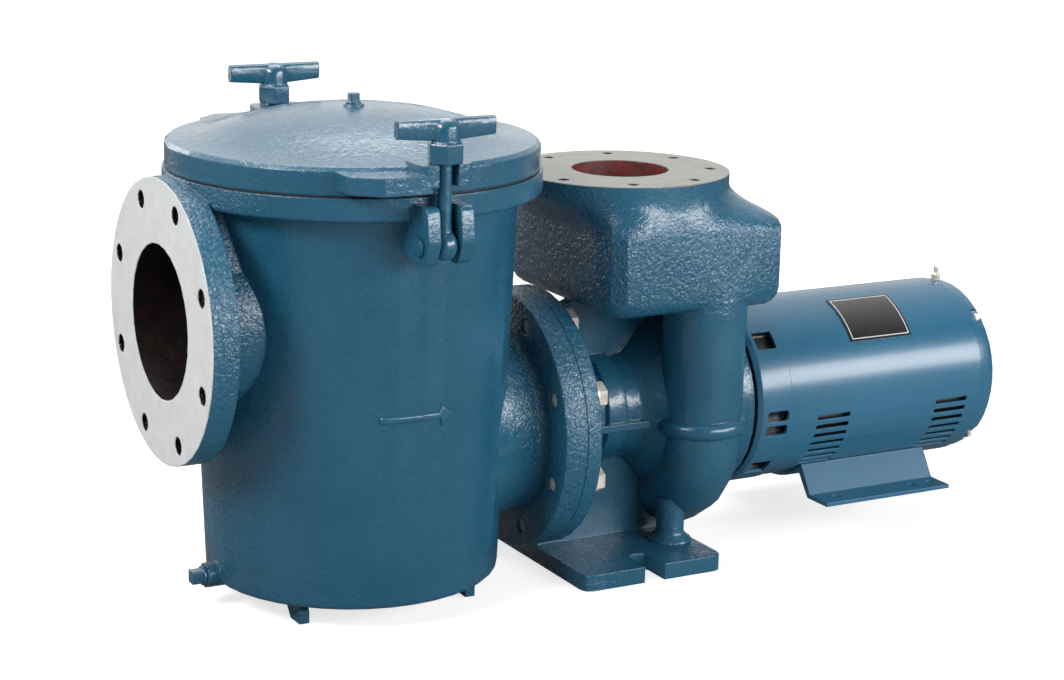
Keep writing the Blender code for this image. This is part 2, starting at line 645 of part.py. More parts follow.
def make_swing_bolt(name, side, enamel):
    y = side * SWING_BOLT_Y
    half = SWING_EYE_WIDTH / 2
    shank = turned([(0.0, SWING_PIVOT_Z + SWING_EYE_RADIUS * 0.7),
                    (SWING_BOLT_RADIUS + 0.0015, SWING_PIVOT_Z + SWING_EYE_RADIUS * 0.7),
                    (SWING_BOLT_RADIUS, SWING_PIVOT_Z + SWING_EYE_RADIUS * 1.4),
                    (SWING_BOLT_RADIUS, SWING_BOLT_TOP), (0.0, SWING_BOLT_TOP)],
                   SMALL, False, (POT_X, y, 0.0))
    eye = turned(filleted([(0.0, POT_X - half), (SWING_EYE_RADIUS, POT_X - half, SWING_EYE_ROUND),
                           (SWING_EYE_RADIUS, POT_X + half, SWING_EYE_ROUND), (0.0, POT_X + half)], 3),
                 20, True, (0.0, y, SWING_PIVOT_Z))
    hole = cylinder(CLEVIS_PIN_RADIUS + PIN_GAP, POT_X - 0.02, POT_X + 0.02, SMALL, True,
                    (0.0, y, SWING_PIVOT_Z))
    return carved(name, eye, [shank], [hole], enamel)


def make_clevis_pin(name, side, zinc):
    ends = CLEVIS_GAP / 2 + CLEVIS_EAR
    head = 0.004
    profile = [(0.0, POT_X - ends - SEAT_GAP - head), (CLEVIS_PIN_HEAD, POT_X - ends - SEAT_GAP - head),
               (CLEVIS_PIN_HEAD, POT_X - ends - SEAT_GAP), (CLEVIS_PIN_RADIUS, POT_X - ends - SEAT_GAP),
               (CLEVIS_PIN_RADIUS, POT_X + ends + 0.002), (0.0, POT_X + ends + 0.002)]
    pin = turned(profile, SMALL, True, (0.0, side * SWING_BOLT_Y, SWING_PIVOT_Z))
    return placed(name, pin, zinc)


def handle_arm(hand, y):
    # A tapered arm of the T, lofted from the hub to its blunt end, with a level top
    rings = []
    top = HANDLE_TOP_Z - 0.0010
    for share in (0.0, 0.35, 1.0):
        x = POT_X + hand * HANDLE_LENGTH / 2 * share
        t = HANDLE_THICKNESS / 2 * (1.0 - HANDLE_TAPER * share)
        h = HANDLE_HEIGHT / 2 * (1.0 + HANDLE_SWELL * (1.0 - share))
        outline = rounded_box(t, h, 0.0035, 2)
        rings.append([(x, y + u, top - h + v) for u, v in outline])
    return lofted(rings)


def make_t_handle(name, side, enamel):
    y = side * SWING_BOLT_Y
    seat = LID_LUG_TOP + NUT_SEAT_GAP
    nut_top = seat + NUT_HEIGHT
    corner = NUT_ACROSS_FLATS / 2 / math.cos(math.pi / 6)
    hexagon = turned([(0.0, seat), (corner * 0.96, seat), (corner, seat + 0.0015),
                      (corner, nut_top - 0.003), (corner * 0.86, nut_top), (0.0, nut_top)],
                     6, False, (0.0, 0.0, 0.0))
    moved(hexagon, (POT_X, y, 0.0), Matrix.Rotation(NUT_TURN, 3, "Z"))
    dome_height = HANDLE_HUB_RADIUS * 0.7
    hub = [(0.0, nut_top - 0.006), (HANDLE_HUB_RADIUS, nut_top - 0.006)]
    for i in range(5):
        angle = math.pi / 2 * i / 4
        drop = dome_height * (1 - math.sin(angle))
        hub.append((HANDLE_HUB_RADIUS * math.cos(angle), HANDLE_TOP_Z - drop))
    hub[-1] = (0.0, HANDLE_TOP_Z)
    dome = turned(hub, SMALL, False, (POT_X, y, 0.0))
    bore = cylinder(SWING_BOLT_RADIUS + THREAD_GAP, seat - 0.01, SWING_BOLT_TOP + THREAD_GAP, SMALL, False,
                    (POT_X, y, 0.0))
    return carved(name, hexagon, [dome, handle_arm(-1, y), handle_arm(1, y)], [bore], enamel)


# Volute casing

def scroll_rings():
    # Round sections that shrink along the scroll, from the front of the shaft round to its top
    rings = []
    stations = 17
    for i in range(stations + 1):
        share = i / stations
        angle = SCROLL_SWEEP * share
        radius = SCROLL_RADIUS_START + (SCROLL_RADIUS_END - SCROLL_RADIUS_START) * share
        reach = SCROLL_REACH_START + (SCROLL_REACH_END - SCROLL_REACH_START) * share
        swell = max(0.0, math.sin(angle))
        radius += SCROLL_FATTEN * swell
        reach += SCROLL_SWELL * swell
        out = Vector((0.0, -math.cos(angle), -math.sin(angle)))
        centre = Vector((VOLUTE_X, 0.0, SHAFT_HEIGHT)) + out * (reach - radius)
        ring = []
        for k in range(SCROLL_SIDES):
            turn = 2 * math.pi * k / SCROLL_SIDES
            sideways = Vector((radius * math.sin(turn), 0.0, 0.0))
            ring.append(centre + out * radius * math.cos(turn) + sideways)
        rings.append(ring)
    return rings


def box_reach(angle, inset):
    # Distance from the discharge's axis out to the box's rounded outline, found by walking outwards
    half_x = BOX_HALF_LENGTH - inset
    half_y = (BOX_BACK_Y - BOX_FRONT_Y) / 2 - inset
    corner = max(BOX_CORNER - inset, 0.004)
    middle_y = (BOX_FRONT_Y + BOX_BACK_Y) / 2
    reach = 0.0
    for step in range(80):
        u = abs(DISCHARGE_X + reach * math.cos(angle) - BOX_X) - (half_x - corner)
        v = abs(reach * math.sin(angle) - middle_y) - (half_y - corner)
        gap = corner - math.hypot(max(u, 0.0), max(v, 0.0)) - min(max(u, v), 0.0)
        reach += gap
    return reach


def box_ring(z, inset, share=0.0):
    # The box's outline at one height; a share of 1 turns it into the flange's circle
    ring = []
    for k in range(BOX_SIDES):
        angle = 2 * math.pi * (k + 0.5) / BOX_SIDES
        straight = box_reach(angle, inset)
        reach = straight + (DISCHARGE_RADIUS - straight) * share
        ring.append((DISCHARGE_X + reach * math.cos(angle), reach * math.sin(angle), z))
    return ring


def discharge_box():
    # A round bottom edge, straight sides, then an S-shaped top that runs up into the round flange
    steps = 4
    rings = []
    for i in range(steps + 1):
        angle = math.pi / 2 * i / steps
        rings.append(box_ring(BOX_BOTTOM + BOX_EDGE * (1 - math.cos(angle)),
                              BOX_EDGE * (1 - math.sin(angle))))
    rim = DISCHARGE_HEIGHT - DISCHARGE_THICKNESS
    for i in range(BOX_SLOPE_STEPS + 1):
        rise = i / BOX_SLOPE_STEPS
        rings.append(box_ring(BOX_SHOULDER + (rim - BOX_SHOULDER) * rise, 0.0,
                              math.sin(math.pi / 2 * rise) ** 2))
    rings.append(box_ring(DISCHARGE_HEIGHT, 0.0, 1.0))
    return lofted(rings)


def box_cavity():
    middle_y = (BOX_FRONT_Y + BOX_BACK_Y) / 2
    outline = rounded_box(BOX_HALF_LENGTH - BOX_WALL, (BOX_BACK_Y - BOX_FRONT_Y) / 2 - BOX_WALL,
                          BOX_CORNER - BOX_WALL, 3, (BOX_X, middle_y))
    return extruded(outline, BOX_BOTTOM + BOX_WALL, BOX_SHOULDER - BOX_WALL / 2)


def casing_hub():
    # Stepped rings between the inlet flange and the volute's side
    start = OUTLET_SEAM_X + CASING_INLET_THICKNESS - 0.004
    side = VOLUTE_X - VOLUTE_HALF_WIDTH
    profile = filleted([(0.0, start), (CASING_HUB_RADIUS + 0.014, start),
                        (CASING_HUB_RADIUS, start + 0.018, 0.008),
                        (CASING_HUB_RADIUS, -0.020), (CASING_HUB_BAND, -0.018, 0.002),
                        (CASING_HUB_BAND, 0.004, 0.002), (CASING_HUB_RADIUS + 0.001, 0.006),
                        (CASING_HUB_RADIUS + 0.004, side - 0.020, 0.010),
                        (VOLUTE_RADIUS * 0.86, side + 0.002, 0.010),
                        (VOLUTE_RADIUS, VOLUTE_X - VOLUTE_HALF_WIDTH * 0.45, 0.012),
                        (VOLUTE_RADIUS, ADAPTER_START_X + 0.001), (0.0, ADAPTER_START_X + 0.001)], 2)
    return turned(profile, MIDDLE, True, (0.0, 0.0, SHAFT_HEIGHT))


def pump_foot():
    slot = FOOT_SLOT_WIDTH / 2
    bottom = -FOOT_HALF_WIDTH
    top = FOOT_HALF_WIDTH
    outline = filleted([(-FOOT_HALF_LENGTH, bottom, 0.010), (-slot, bottom),
                        (-slot, bottom + FOOT_SLOT_DEPTH, 0.008), (slot, bottom + FOOT_SLOT_DEPTH, 0.008),
                        (slot, bottom), (FOOT_HALF_LENGTH, bottom, 0.010),
                        (FOOT_HALF_LENGTH, top, 0.010), (slot, top),
                        (slot, top - FOOT_SLOT_DEPTH, 0.008), (-slot, top - FOOT_SLOT_DEPTH, 0.008),
                        (-slot, top), (-FOOT_HALF_LENGTH, top, 0.010)], 2)
    return extruded(outline, 0.0, FOOT_THICKNESS)


def pedestal():
    # The web that carries the casing on its foot, narrower at the top
    start = OUTLET_SEAM_X + CASING_INLET_THICKNESS / 2
    low = FOOT_THICKNESS - 0.004
    high = SHAFT_HEIGHT - CASING_HUB_RADIUS * 0.8
    outline = [(-PEDESTAL_HALF_WIDTH, low), (PEDESTAL_HALF_WIDTH, low),
               (PEDESTAL_TOP_HALF, high), (-PEDESTAL_TOP_HALF, high)]
    return extruded(outline, start, VOLUTE_X, "YZ")


def foot_neck():
    # A short flared post between the bowl of the scroll and the foot
    top = SHAFT_HEIGHT - SCROLL_REACH_START + SCROLL_RADIUS_START * 0.6
    return turned(filleted([(0.0, FOOT_THICKNESS - 0.004), (NECK_RADIUS + 0.010, FOOT_THICKNESS - 0.004),
                            (NECK_RADIUS + 0.008, FOOT_THICKNESS + 0.002, 0.001),
                            (NECK_RADIUS, FOOT_THICKNESS + 0.008, 0.006), (NECK_RADIUS, top),
                            (0.0, top)], 3),
                  MIDDLE, False, (NECK_X, NECK_Y, 0.0))


def top_web():
    # Closes the space between the hub, the inlet flange and the discharge box
    half = TOP_WEB_THICKNESS / 2
    start = OUTLET_SEAM_X + CASING_INLET_THICKNESS / 2
    low = SHAFT_HEIGHT + CASING_HUB_RADIUS * 0.8
    high = BOX_BOTTOM + BOX_WALL / 2
    outline = [(start, low), (VOLUTE_X, low), (VOLUTE_X, high),
               (BOX_X - BOX_HALF_LENGTH + BOX_CORNER, high),
               (start, SHAFT_HEIGHT + OUTLET_RADIUS * 0.75)]
    return extruded(outline, -half, half, "XZ")


def discharge_pipe():
    # From the scroll's throat up into the box, with the bead round its foot
    centre_y = -(SCROLL_REACH_START - SCROLL_RADIUS_START)
    at = (VOLUTE_X, centre_y, 0.0)
    low = SHAFT_HEIGHT - 0.012
    high = BOX_SHOULDER - BOX_WALL
    pipe = turned([(0.0, low), (SCROLL_RADIUS_START, low), (PIPE_TOP_RADIUS, BOX_BOTTOM + BOX_EDGE),
                   (PIPE_TOP_RADIUS - PIPE_FADE, high), (0.0, high)], MIDDLE, False, at)
    half = BEAD_HEIGHT / 2
    bead = turned(filleted([(0.0, BEAD_Z - half), (BEAD_RADIUS, BEAD_Z - half, 0.008),
                            (BEAD_RADIUS, BEAD_Z + half, 0.008), (0.0, BEAD_Z + half)], 4),
                  MIDDLE, False, at)
    bore = cylinder(PIPE_TOP_RADIUS - PIPE_WALL, SHAFT_HEIGHT + 0.015, BOX_BOTTOM + BOX_WALL + 0.010,
                    MIDDLE, False, at)
    return pipe, bead, bore


def centre_rib():
    # The bead runs on along the hub to the inlet flange, at both sides
    half = RIB_THICKNESS / 2
    start = OUTLET_SEAM_X + CASING_INLET_THICKNESS / 2
    hub = CASING_HUB_BAND + 0.003
    side = VOLUTE_X - BEAD_RADIUS
    throat = SCROLL_REACH_START - SCROLL_RADIUS_START
    outline = filleted([(start, -hub), (side, -hub, 0.030), (VOLUTE_X - 0.034, -throat),
                        (VOLUTE_X - 0.034, throat), (side, hub, 0.030), (start, hub)], 3)
    return extruded(outline, BEAD_Z - half, BEAD_Z + half)


def make_casing(enamel):
    inlet = (0.0, 0.0, SHAFT_HEIGHT)
    outlet = (DISCHARGE_X, 0.0, 0.0)
    seam = OUTLET_SEAM_X + SEAT_GAP
    inlet_back = OUTLET_SEAM_X + CASING_INLET_THICKNESS
    inlet_flange = turned(filleted([(0.0, seam), (OUTLET_RADIUS, seam), (OUTLET_RADIUS, inlet_back, 0.003),
                                    (0.0, inlet_back)], 2), ROUND, True, inlet)
    pipe, bead, pipe_bore = discharge_pipe()
    joins = [casing_hub(), lofted(scroll_rings()), pipe, bead, centre_rib(), discharge_box(), pump_foot(),
             pedestal(), foot_neck(), top_web()]
    cuts = [box_cavity(), pipe_bore,
            cylinder(DISCHARGE_BORE_RADIUS, BOX_SHOULDER - BOX_WALL, DISCHARGE_HEIGHT + 0.01, MIDDLE,
                     False, outlet),
            cylinder(OUTLET_BORE_RADIUS - 0.006, OUTLET_SEAM_X - 0.01, 0.020, MIDDLE, True, inlet),
            cylinder(VOLUTE_RADIUS - 0.001, ADAPTER_START_X - SEAT_GAP, MOTOR_FRONT_X + 0.010, ROUND,
                     True, inlet)]
    cuts += hole_ring(FLANGE_BOLTS, DISCHARGE_BOLT_CIRCLE, DISCHARGE_HOLE_RADIUS,
                      DISCHARGE_HEIGHT - DISCHARGE_HOLE_DEPTH, DISCHARGE_HEIGHT + 0.005, False, outlet)
    cuts += hole_ring(OUTLET_BOLTS, OUTLET_BOLT_CIRCLE, BOLT_RADIUS + HOLE_GAP, OUTLET_SEAM_X - 0.005,
                      inlet_back + 0.004, True, inlet)
    return carved("pump_casing", inlet_flange, joins, cuts, enamel)


def make_flange_bolts(zinc):
    seat = OUTLET_SEAM_X + CASING_INLET_THICKNESS + SEAT_GAP
    end = OUTLET_SEAM_X - POT_OUTLET_THICKNESS + BOLT_END_INSET
    corner = BOLT_ACROSS_FLATS / 2 / math.cos(math.pi / 6)
    for i in range(OUTLET_BOLTS):
        angle = 2 * math.pi * (i + 0.5) / OUTLET_BOLTS
        at = (0.0, OUTLET_BOLT_CIRCLE * math.cos(angle),
              SHAFT_HEIGHT + OUTLET_BOLT_CIRCLE * math.sin(angle))
        shank = turned([(0.0, end), (BOLT_RADIUS, end), (BOLT_RADIUS, seat), (WASHER_RADIUS, seat),
                        (WASHER_RADIUS, seat + WASHER_THICKNESS), (0.0, seat + WASHER_THICKNESS)],
                       12, True, at)
        head = turned([(0.0, seat + WASHER_THICKNESS - 0.001), (corner, seat + WASHER_THICKNESS - 0.001),
                       (corner, seat + WASHER_THICKNESS + BOLT_HEAD_HEIGHT - 0.0015),
                       (corner * 0.88, seat + WASHER_THICKNESS + BOLT_HEAD_HEIGHT),
                       (0.0, seat + WASHER_THICKNESS + BOLT_HEAD_HEIGHT)], 6, True, at)
        carved("flange_bolt_%d" % (i + 1), shank, [head], [], zinc)


def make_drain_plug(enamel):
    boss_x = POT_X - pot_outer_radius(DRAIN_HEIGHT)
    seat = boss_x - DRAIN_BOSS_REACH - SEAT_GAP
    collar = DRAIN_THREAD_RADIUS + 0.0025
    thread = turned([(0.0, seat - 0.003), (collar, seat - 0.003), (collar, seat),
                     (DRAIN_THREAD_RADIUS, seat), (DRAIN_THREAD_RADIUS, boss_x - 0.004),
                     (0.0, boss_x - 0.004)], SMALL, True,
                    (0.0, 0.0, DRAIN_HEIGHT))
    half = DRAIN_SQUARE / 2
    square = extruded(rounded_box(half, half, 0.001, 1, (0.0, DRAIN_HEIGHT)), seat - DRAIN_HEAD_LENGTH,
                      seat - 0.001, "YZ")
    return carved("pot_drain_plug", thread, [square], [], enamel)


# Motor

def make_adapter(enamel):
    low = ADAPTER_START_X
    high = MOTOR_FRONT_X - SEAT_GAP
    ring = turned([(0.0, low), (VOLUTE_RADIUS - 0.002, low), (VOLUTE_RADIUS - 0.002, low + 0.0035),
                   (ADAPTER_RADIUS, low + 0.0045), (ADAPTER_RADIUS, high), (0.0, high)], MIDDLE, True,
                  (0.0, 0.0, SHAFT_HEIGHT))
    return placed("motor_adapter", ring, enamel)


def around_motor(bm, angle):
    # Turns a solid made at the motor's top towards the front side by the given angle
    return moved(bm, (0, 0, 0), Matrix.Rotation(angle, 3, "X"), (0.0, 0.0, SHAFT_HEIGHT))


def bell_pockets(low, high):
    pockets = []
    for i in range(4):
        angle = math.pi / 4 + math.pi / 2 * i
        outline = rounded_box(0.011, 0.010, 0.004, 2, (0.0, SHAFT_HEIGHT + BELL_RIM_RADIUS + 0.001))
        pockets.append(around_motor(extruded(outline, low, high, "YZ"), angle))
    return pockets


def motor_window(x, angle, length, height, depth):
    low = SHAFT_HEIGHT + MOTOR_RADIUS - depth
    slot = extruded(rounded_box(length / 2, height / 2, height * 0.2, 1, (x, 0.0)), low,
                    SHAFT_HEIGHT + MOTOR_RADIUS + 0.01)
    return around_motor(slot, angle)


def make_motor(enamel):
    axis = (0.0, 0.0, SHAFT_HEIGHT)
    bell_end = MOTOR_FRONT_X + FRONT_BELL_LENGTH
    front = turned(filleted([(0.0, MOTOR_FRONT_X), (BELL_RIM_RADIUS - 0.004, MOTOR_FRONT_X, 0.002),
                             (BELL_RIM_RADIUS, MOTOR_FRONT_X + 0.006, 0.002),
                             (BELL_RIM_RADIUS, bell_end - SEAT_GAP), (0.0, bell_end - SEAT_GAP)], 2),
                   ROUND, True, axis)
    pocket = MOTOR_FRONT_X + POCKET_START
    cuts = bell_pockets(pocket, pocket + POCKET_LENGTH)
    for side in (-1, 1):
        for angle in (94, 103.5):
            cuts.append(motor_window(MOTOR_FRONT_X + 0.0255, side * math.radians(angle), VENT_LENGTH * 0.75,
                                     VENT_HEIGHT, LOUVRE_DEPTH))
    carved("motor_front_bell", front, [], cuts, enamel)

    shell_end = bell_end + SHELL_LENGTH
    shell = cylinder(MOTOR_RADIUS, bell_end, shell_end, ROUND, True, axis)
    cuts = []
    for side in (-1, 1):
        for centre, count in ((FRONT_LOUVRE_X, FRONT_LOUVRES), (REAR_LOUVRE_X, REAR_LOUVRES)):
            for i in range(count):
                angle = LOUVRE_FIRST + LOUVRE_PITCH * i
                cuts.append(motor_window(centre, side * angle, LOUVRE_LENGTH, LOUVRE_HEIGHT, LOUVRE_DEPTH))
    carved("motor_shell", shell, [], cuts, enamel)

    rear_start = shell_end + SEAT_GAP
    rear_end = rear_start + REAR_BELL_LENGTH
    dish = rear_end - REAR_DISH_DEPTH
    rear = turned(filleted([(0.0, rear_start), (MOTOR_RADIUS - 0.001, rear_start),
                            (MOTOR_RADIUS - 0.003, rear_end, REAR_BELL_ROUND),
                            (REAR_DISH_RADIUS, rear_end + 0.002, 0.002),
                            (REAR_DISH_RADIUS - REAR_DISH_SLOPE, dish, 0.002), (0.0, dish)], 3),
                  ROUND, True, axis)
    carved("motor_rear_bell", rear, [], bell_pockets(rear_start + REAR_POCKET_START, rear_end + 0.01),
           enamel)
    return rear_start


def make_through_bolts(rear_start, zinc):
    seat = rear_start + REAR_POCKET_START + SEAT_GAP
    for i in range(4):
        angle = math.pi / 4 + math.pi / 2 * i
        at = (0.0, 0.0, SHAFT_HEIGHT + THROUGH_BOLT_CIRCLE + 0.005)
        head = cylinder(THROUGH_BOLT_RADIUS, seat, seat + THROUGH_BOLT_HEAD, 6, True, at)
        placed("motor_through_bolt_%d" % (i + 1), around_motor(head, angle), zinc)


def shell_arc(radius, start, end, steps):
    # Points below the motor, from one angle off the bottom to another
    points = []
    for i in range(steps + 1):
        angle = start + (end - start) * i / steps
        points.append((radius * math.sin(angle), SHAFT_HEIGHT - radius * math.cos(angle)))
    return points


def make_motor_foot(enamel):
    # One bent sheet: two flat feet, two sloping risers and a cradle under the shell
    t = MOTOR_FOOT_SHEET
    under = MOTOR_FOOT_UNDERSIDE
    wide = MOTOR_FOOT_HALF_WIDTH
    touch = MOTOR_RADIUS + SEAT_GAP
    hold = MOTOR_FOOT_HOLD
    turn_in = t / touch
    foot_edge = [(wide, under), (wide, under + t), (MOTOR_FOOT_KNEE, under + t)]
    outline = foot_edge + shell_arc(touch, hold + turn_in, -hold - turn_in, 12)
    outline += [(-y, z) for y, z in reversed(foot_edge)]
    outline += [(-MOTOR_FOOT_KNEE + t, under)] + shell_arc(touch + t, -hold + turn_in, hold - turn_in, 10)
    outline += [(MOTOR_FOOT_KNEE - t, under)]
    half = MOTOR_FOOT_LENGTH / 2
    sheet = extruded(outline, MOTOR_FOOT_X - half, MOTOR_FOOT_X + half, "YZ")
    cuts = []
    for side in (-1, 1):
        for x in MOTOR_FOOT_HOLES:
            cuts.append(cylinder(MOTOR_FOOT_HOLE_RADIUS, under - 0.01, under + 0.02, 12, False,
                                 (MOTOR_FOOT_X + x, side * MOTOR_FOOT_HOLE_Y, 0.0)))
    return carved("motor_foot", sheet, [], cuts, enamel)


def make_label(black):
    # A thin plate bent to the shell, on its upper front side
    inner = MOTOR_RADIUS + SEAT_GAP
    outer = inner + LABEL_THICKNESS
    outline = []
    steps = 8
    for radius, order in ((inner, range(steps + 1)), (outer, range(steps, -1, -1))):
        for i in order:
            angle = LABEL_FIRST + LABEL_SWEEP * i / steps
            outline.append((-radius * math.sin(angle), SHAFT_HEIGHT + radius * math.cos(angle)))
    start = MOTOR_FRONT_X + FRONT_BELL_LENGTH + LABEL_OFFSET
    return placed("label_plate", extruded(outline, start, start + LABEL_LENGTH, "YZ"), black)


def make_grease_fitting(rear_start, zinc):
    # Screwed into the top of the rear bell: a hexagon, a waist and a rounded tip
    base = SHAFT_HEIGHT + MOTOR_RADIUS - 0.001 + SEAT_GAP
    wide = GREASE_BODY_RADIUS
    shape = ((0.0, 0.0), (1.0, 0.0), (1.0, 0.35), (0.56, 0.47), (0.56, 0.71), (0.72, 0.82), (0.4, 1.0),
             (0.0, 1.0))
    profile = [(wide * u, base + GREASE_HEIGHT * v) for u, v in shape]
    return placed("grease_fitting", turned(profile, 10, False, (rear_start + wide, 0.0, 0.0)), zinc)


def make_conduit_box(enamel):
    # The wiring box on the far side, with its screwed cover
    half_x = CONDUIT_LENGTH / 2
    half_z = CONDUIT_HEIGHT / 2
    cover_start = CONDUIT_REACH - CONDUIT_COVER
    middle = (MOTOR_FOOT_X, SHAFT_HEIGHT)
    box = extruded(rounded_box(half_x, half_z, CONDUIT_CORNER, 3, middle), MOTOR_RADIUS * 0.6,
                   cover_start - SEAT_GAP, "XZ")
    shell = cylinder(MOTOR_RADIUS + SEAT_GAP, MOTOR_FOOT_X - CONDUIT_LENGTH,
                     MOTOR_FOOT_X + CONDUIT_LENGTH, ROUND, True, (0.0, 0.0, SHAFT_HEIGHT))
    carved("conduit_box", box, [], [shell], enamel)
    lip = CONDUIT_COVER / 3
    cover = extruded(rounded_box(half_x + lip, half_z + lip, CONDUIT_CORNER, 3, middle),
                     cover_start, CONDUIT_REACH, "XZ")
    placed("conduit_cover", cover, enamel)


def build():
    clear_scene()
    blue = finish("blue_enamel", (0.075, 0.205, 0.330), 0.30)
    motor_blue = finish("motor_enamel", (0.110, 0.250, 0.375), 0.38)
    zinc = finish("zinc_plate", (0.72, 0.70, 0.66), 0.32, 1.0)
    steel = finish("basket_steel", (0.60, 0.60, 0.60), 0.35, 1.0)
    rubber = finish("black_rubber", (0.012, 0.012, 0.013), 0.60)
    black = finish("label_black", (0.015, 0.015, 0.017), 0.35)

    make_pot(blue)
    make_basket(steel)
    make_gasket(rubber)
    make_lid(blue)
    make_vent_plug(blue)
    make_drain_plug(blue)
    for name, side in (("front", -1), ("rear", 1)):
        make_swing_bolt("swing_bolt_" + name, side, blue)
        make_clevis_pin("clevis_pin_" + name, side, blue)
        make_t_handle("t_handle_" + name, side, blue)
    make_casing(blue)
    make_flange_bolts(zinc)
    make_adapter(blue)
    rear_start = make_motor(motor_blue)
    make_through_bolts(rear_start, zinc)
    make_motor_foot(motor_blue)
    make_label(black)
    make_grease_fitting(rear_start, zinc)
    make_conduit_box(motor_blue)


build()
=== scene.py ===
import json
import math

import bpy
import bmesh
from mathutils import Matrix, Vector


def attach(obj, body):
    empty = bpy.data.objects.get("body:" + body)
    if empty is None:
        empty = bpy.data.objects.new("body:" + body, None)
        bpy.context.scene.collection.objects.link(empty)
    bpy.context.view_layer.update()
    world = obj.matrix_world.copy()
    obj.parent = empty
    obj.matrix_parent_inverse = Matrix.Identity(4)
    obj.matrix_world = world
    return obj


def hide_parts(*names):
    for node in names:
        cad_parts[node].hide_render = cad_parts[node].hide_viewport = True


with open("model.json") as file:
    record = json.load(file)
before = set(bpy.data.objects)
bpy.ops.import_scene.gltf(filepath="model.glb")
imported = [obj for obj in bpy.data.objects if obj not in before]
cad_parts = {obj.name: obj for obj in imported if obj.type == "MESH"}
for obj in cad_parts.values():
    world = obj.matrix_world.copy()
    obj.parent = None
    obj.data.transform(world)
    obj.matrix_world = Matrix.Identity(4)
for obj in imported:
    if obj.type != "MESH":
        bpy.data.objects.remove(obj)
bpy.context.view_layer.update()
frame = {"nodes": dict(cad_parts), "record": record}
nodes = frame["nodes"]
print("frame loaded:", len(nodes), "nodes")


# shader helpers
def newMaterial(name):
    material = bpy.data.materials.new(name)
    material.use_nodes = True
    tree = material.node_tree
    shader = tree.nodes["Principled BSDF"]
    return material, tree, shader


def objectPoint(tree):
    return tree.nodes.new("ShaderNodeTexCoord").outputs["Object"]


def noise(tree, scale, detail=3.0, roughness=0.5, distortion=0.0):
    node = tree.nodes.new("ShaderNodeTexNoise")
    node.inputs["Scale"].default_value = scale
    node.inputs["Detail"].default_value = detail
    node.inputs["Roughness"].default_value = roughness
    node.inputs["Distortion"].default_value = distortion
    tree.links.new(objectPoint(tree), node.inputs["Vector"])
    return node.outputs["Fac"]


def maths(tree, operation, *operands):
    node = tree.nodes.new("ShaderNodeMath")
    node.operation = operation
    for socket, value in zip(node.inputs, operands):
        if isinstance(value, (int, float)):
            socket.default_value = value
        else:
            tree.links.new(value, socket)
    return node.outputs[0]


def opposite(tree, value):
    return maths(tree, "SUBTRACT", 1.0, value)


def spread(tree, value, low, high, newLow=0.0, newHigh=1.0):
    node = tree.nodes.new("ShaderNodeMapRange")
    tree.links.new(value, node.inputs["Value"])
    node.inputs["From Min"].default_value = low
    node.inputs["From Max"].default_value = high
    node.inputs["To Min"].default_value = newLow
    node.inputs["To Max"].default_value = newHigh
    node.clamp = True
    return node.outputs["Result"]


def blendColour(tree, factor, first, second):
    node = tree.nodes.new("ShaderNodeMix")
    node.data_type = "RGBA"
    tree.links.new(factor, node.inputs["Factor"])
    for socket, value in ((node.inputs[6], first), (node.inputs[7], second)):       # its two colours
        if isinstance(value, tuple):
            socket.default_value = (*value, 1.0)
        else:
            tree.links.new(value, socket)
    return node.outputs[2]


def bumped(tree, shader, height, distance, strength, below=None):
    # the coat takes the relief too, or it would lie on the casting like glass
    node = tree.nodes.new("ShaderNodeBump")
    node.inputs["Distance"].default_value = distance
    node.inputs["Strength"].default_value = strength
    tree.links.new(height, node.inputs["Height"])
    if below is not None:
        tree.links.new(below, node.inputs["Normal"])
    tree.links.new(node.outputs["Normal"], shader.inputs["Normal"])
    tree.links.new(node.outputs["Normal"], shader.inputs["Coat Normal"])


def softEdges(tree, radius):
    node = tree.nodes.new("ShaderNodeBevel")
    node.samples = 6
    node.inputs["Radius"].default_value = radius
    return node.outputs["Normal"]


def axes(tree):
    split = tree.nodes.new("ShaderNodeSeparateXYZ")
    tree.links.new(objectPoint(tree), split.inputs[0])
    return tuple(split.outputs)


def distanceFrom(tree, first, second, a, b):
    da = maths(tree, "SUBTRACT", first, a)
    db = maths(tree, "SUBTRACT", second, b)
    return maths(tree, "SQRT", maths(tree, "ADD", maths(tree, "MULTIPLY", da, da),
                                     maths(tree, "MULTIPLY", db, db)))


def mirroredRays(tree, path):
    return maths(tree, "MAXIMUM", path.outputs["Is Glossy Ray"], path.outputs["Is Transmission Ray"])


# cast iron under enamel
castLook = {
    "blue": (0.009, 0.079, 0.140),
    "paleBlue": (0.017, 0.097, 0.166),
    "edge": 0.0022,                     # how far the paint rounds a cast edge
    "hole": (0.006, 0.004, 0.004),      # painted shade on the bolt holes' walls
    "roughness": 0.28,
    "coat": 0.60,
    "coatRoughness": 0.09,
    "bareCoat": 0.6,                    # share of the coat on a casting with a machined face
    "mottle": 9.0,                      # paler and darker blue, per metre
    "speckle": 0.35,                    # how much of the darker blue the specks show
    "grain": 225.0,                     # sand grain of the casting, per metre
    "grainTwist": 0.8,
    "grainShare": 0.8,                  # of the relief
    "lumps": 70.0,
    "lumpShare": 0.5,
    "lumpHeight": 0.0018,
    "reliefStrength": 0.85,
    "coarseHeight": 1.5,                # how much deeper the grain is where the sand was coarse
    "patches": 5.5,                     # rougher and smoother places, per metre
    "patchDepths": (0.12, 0.6),
    "primerRoughness": 0.25,            # added to the paint's
    "faceRoughness": 0.28,
    "toolMarks": 45.0,
}


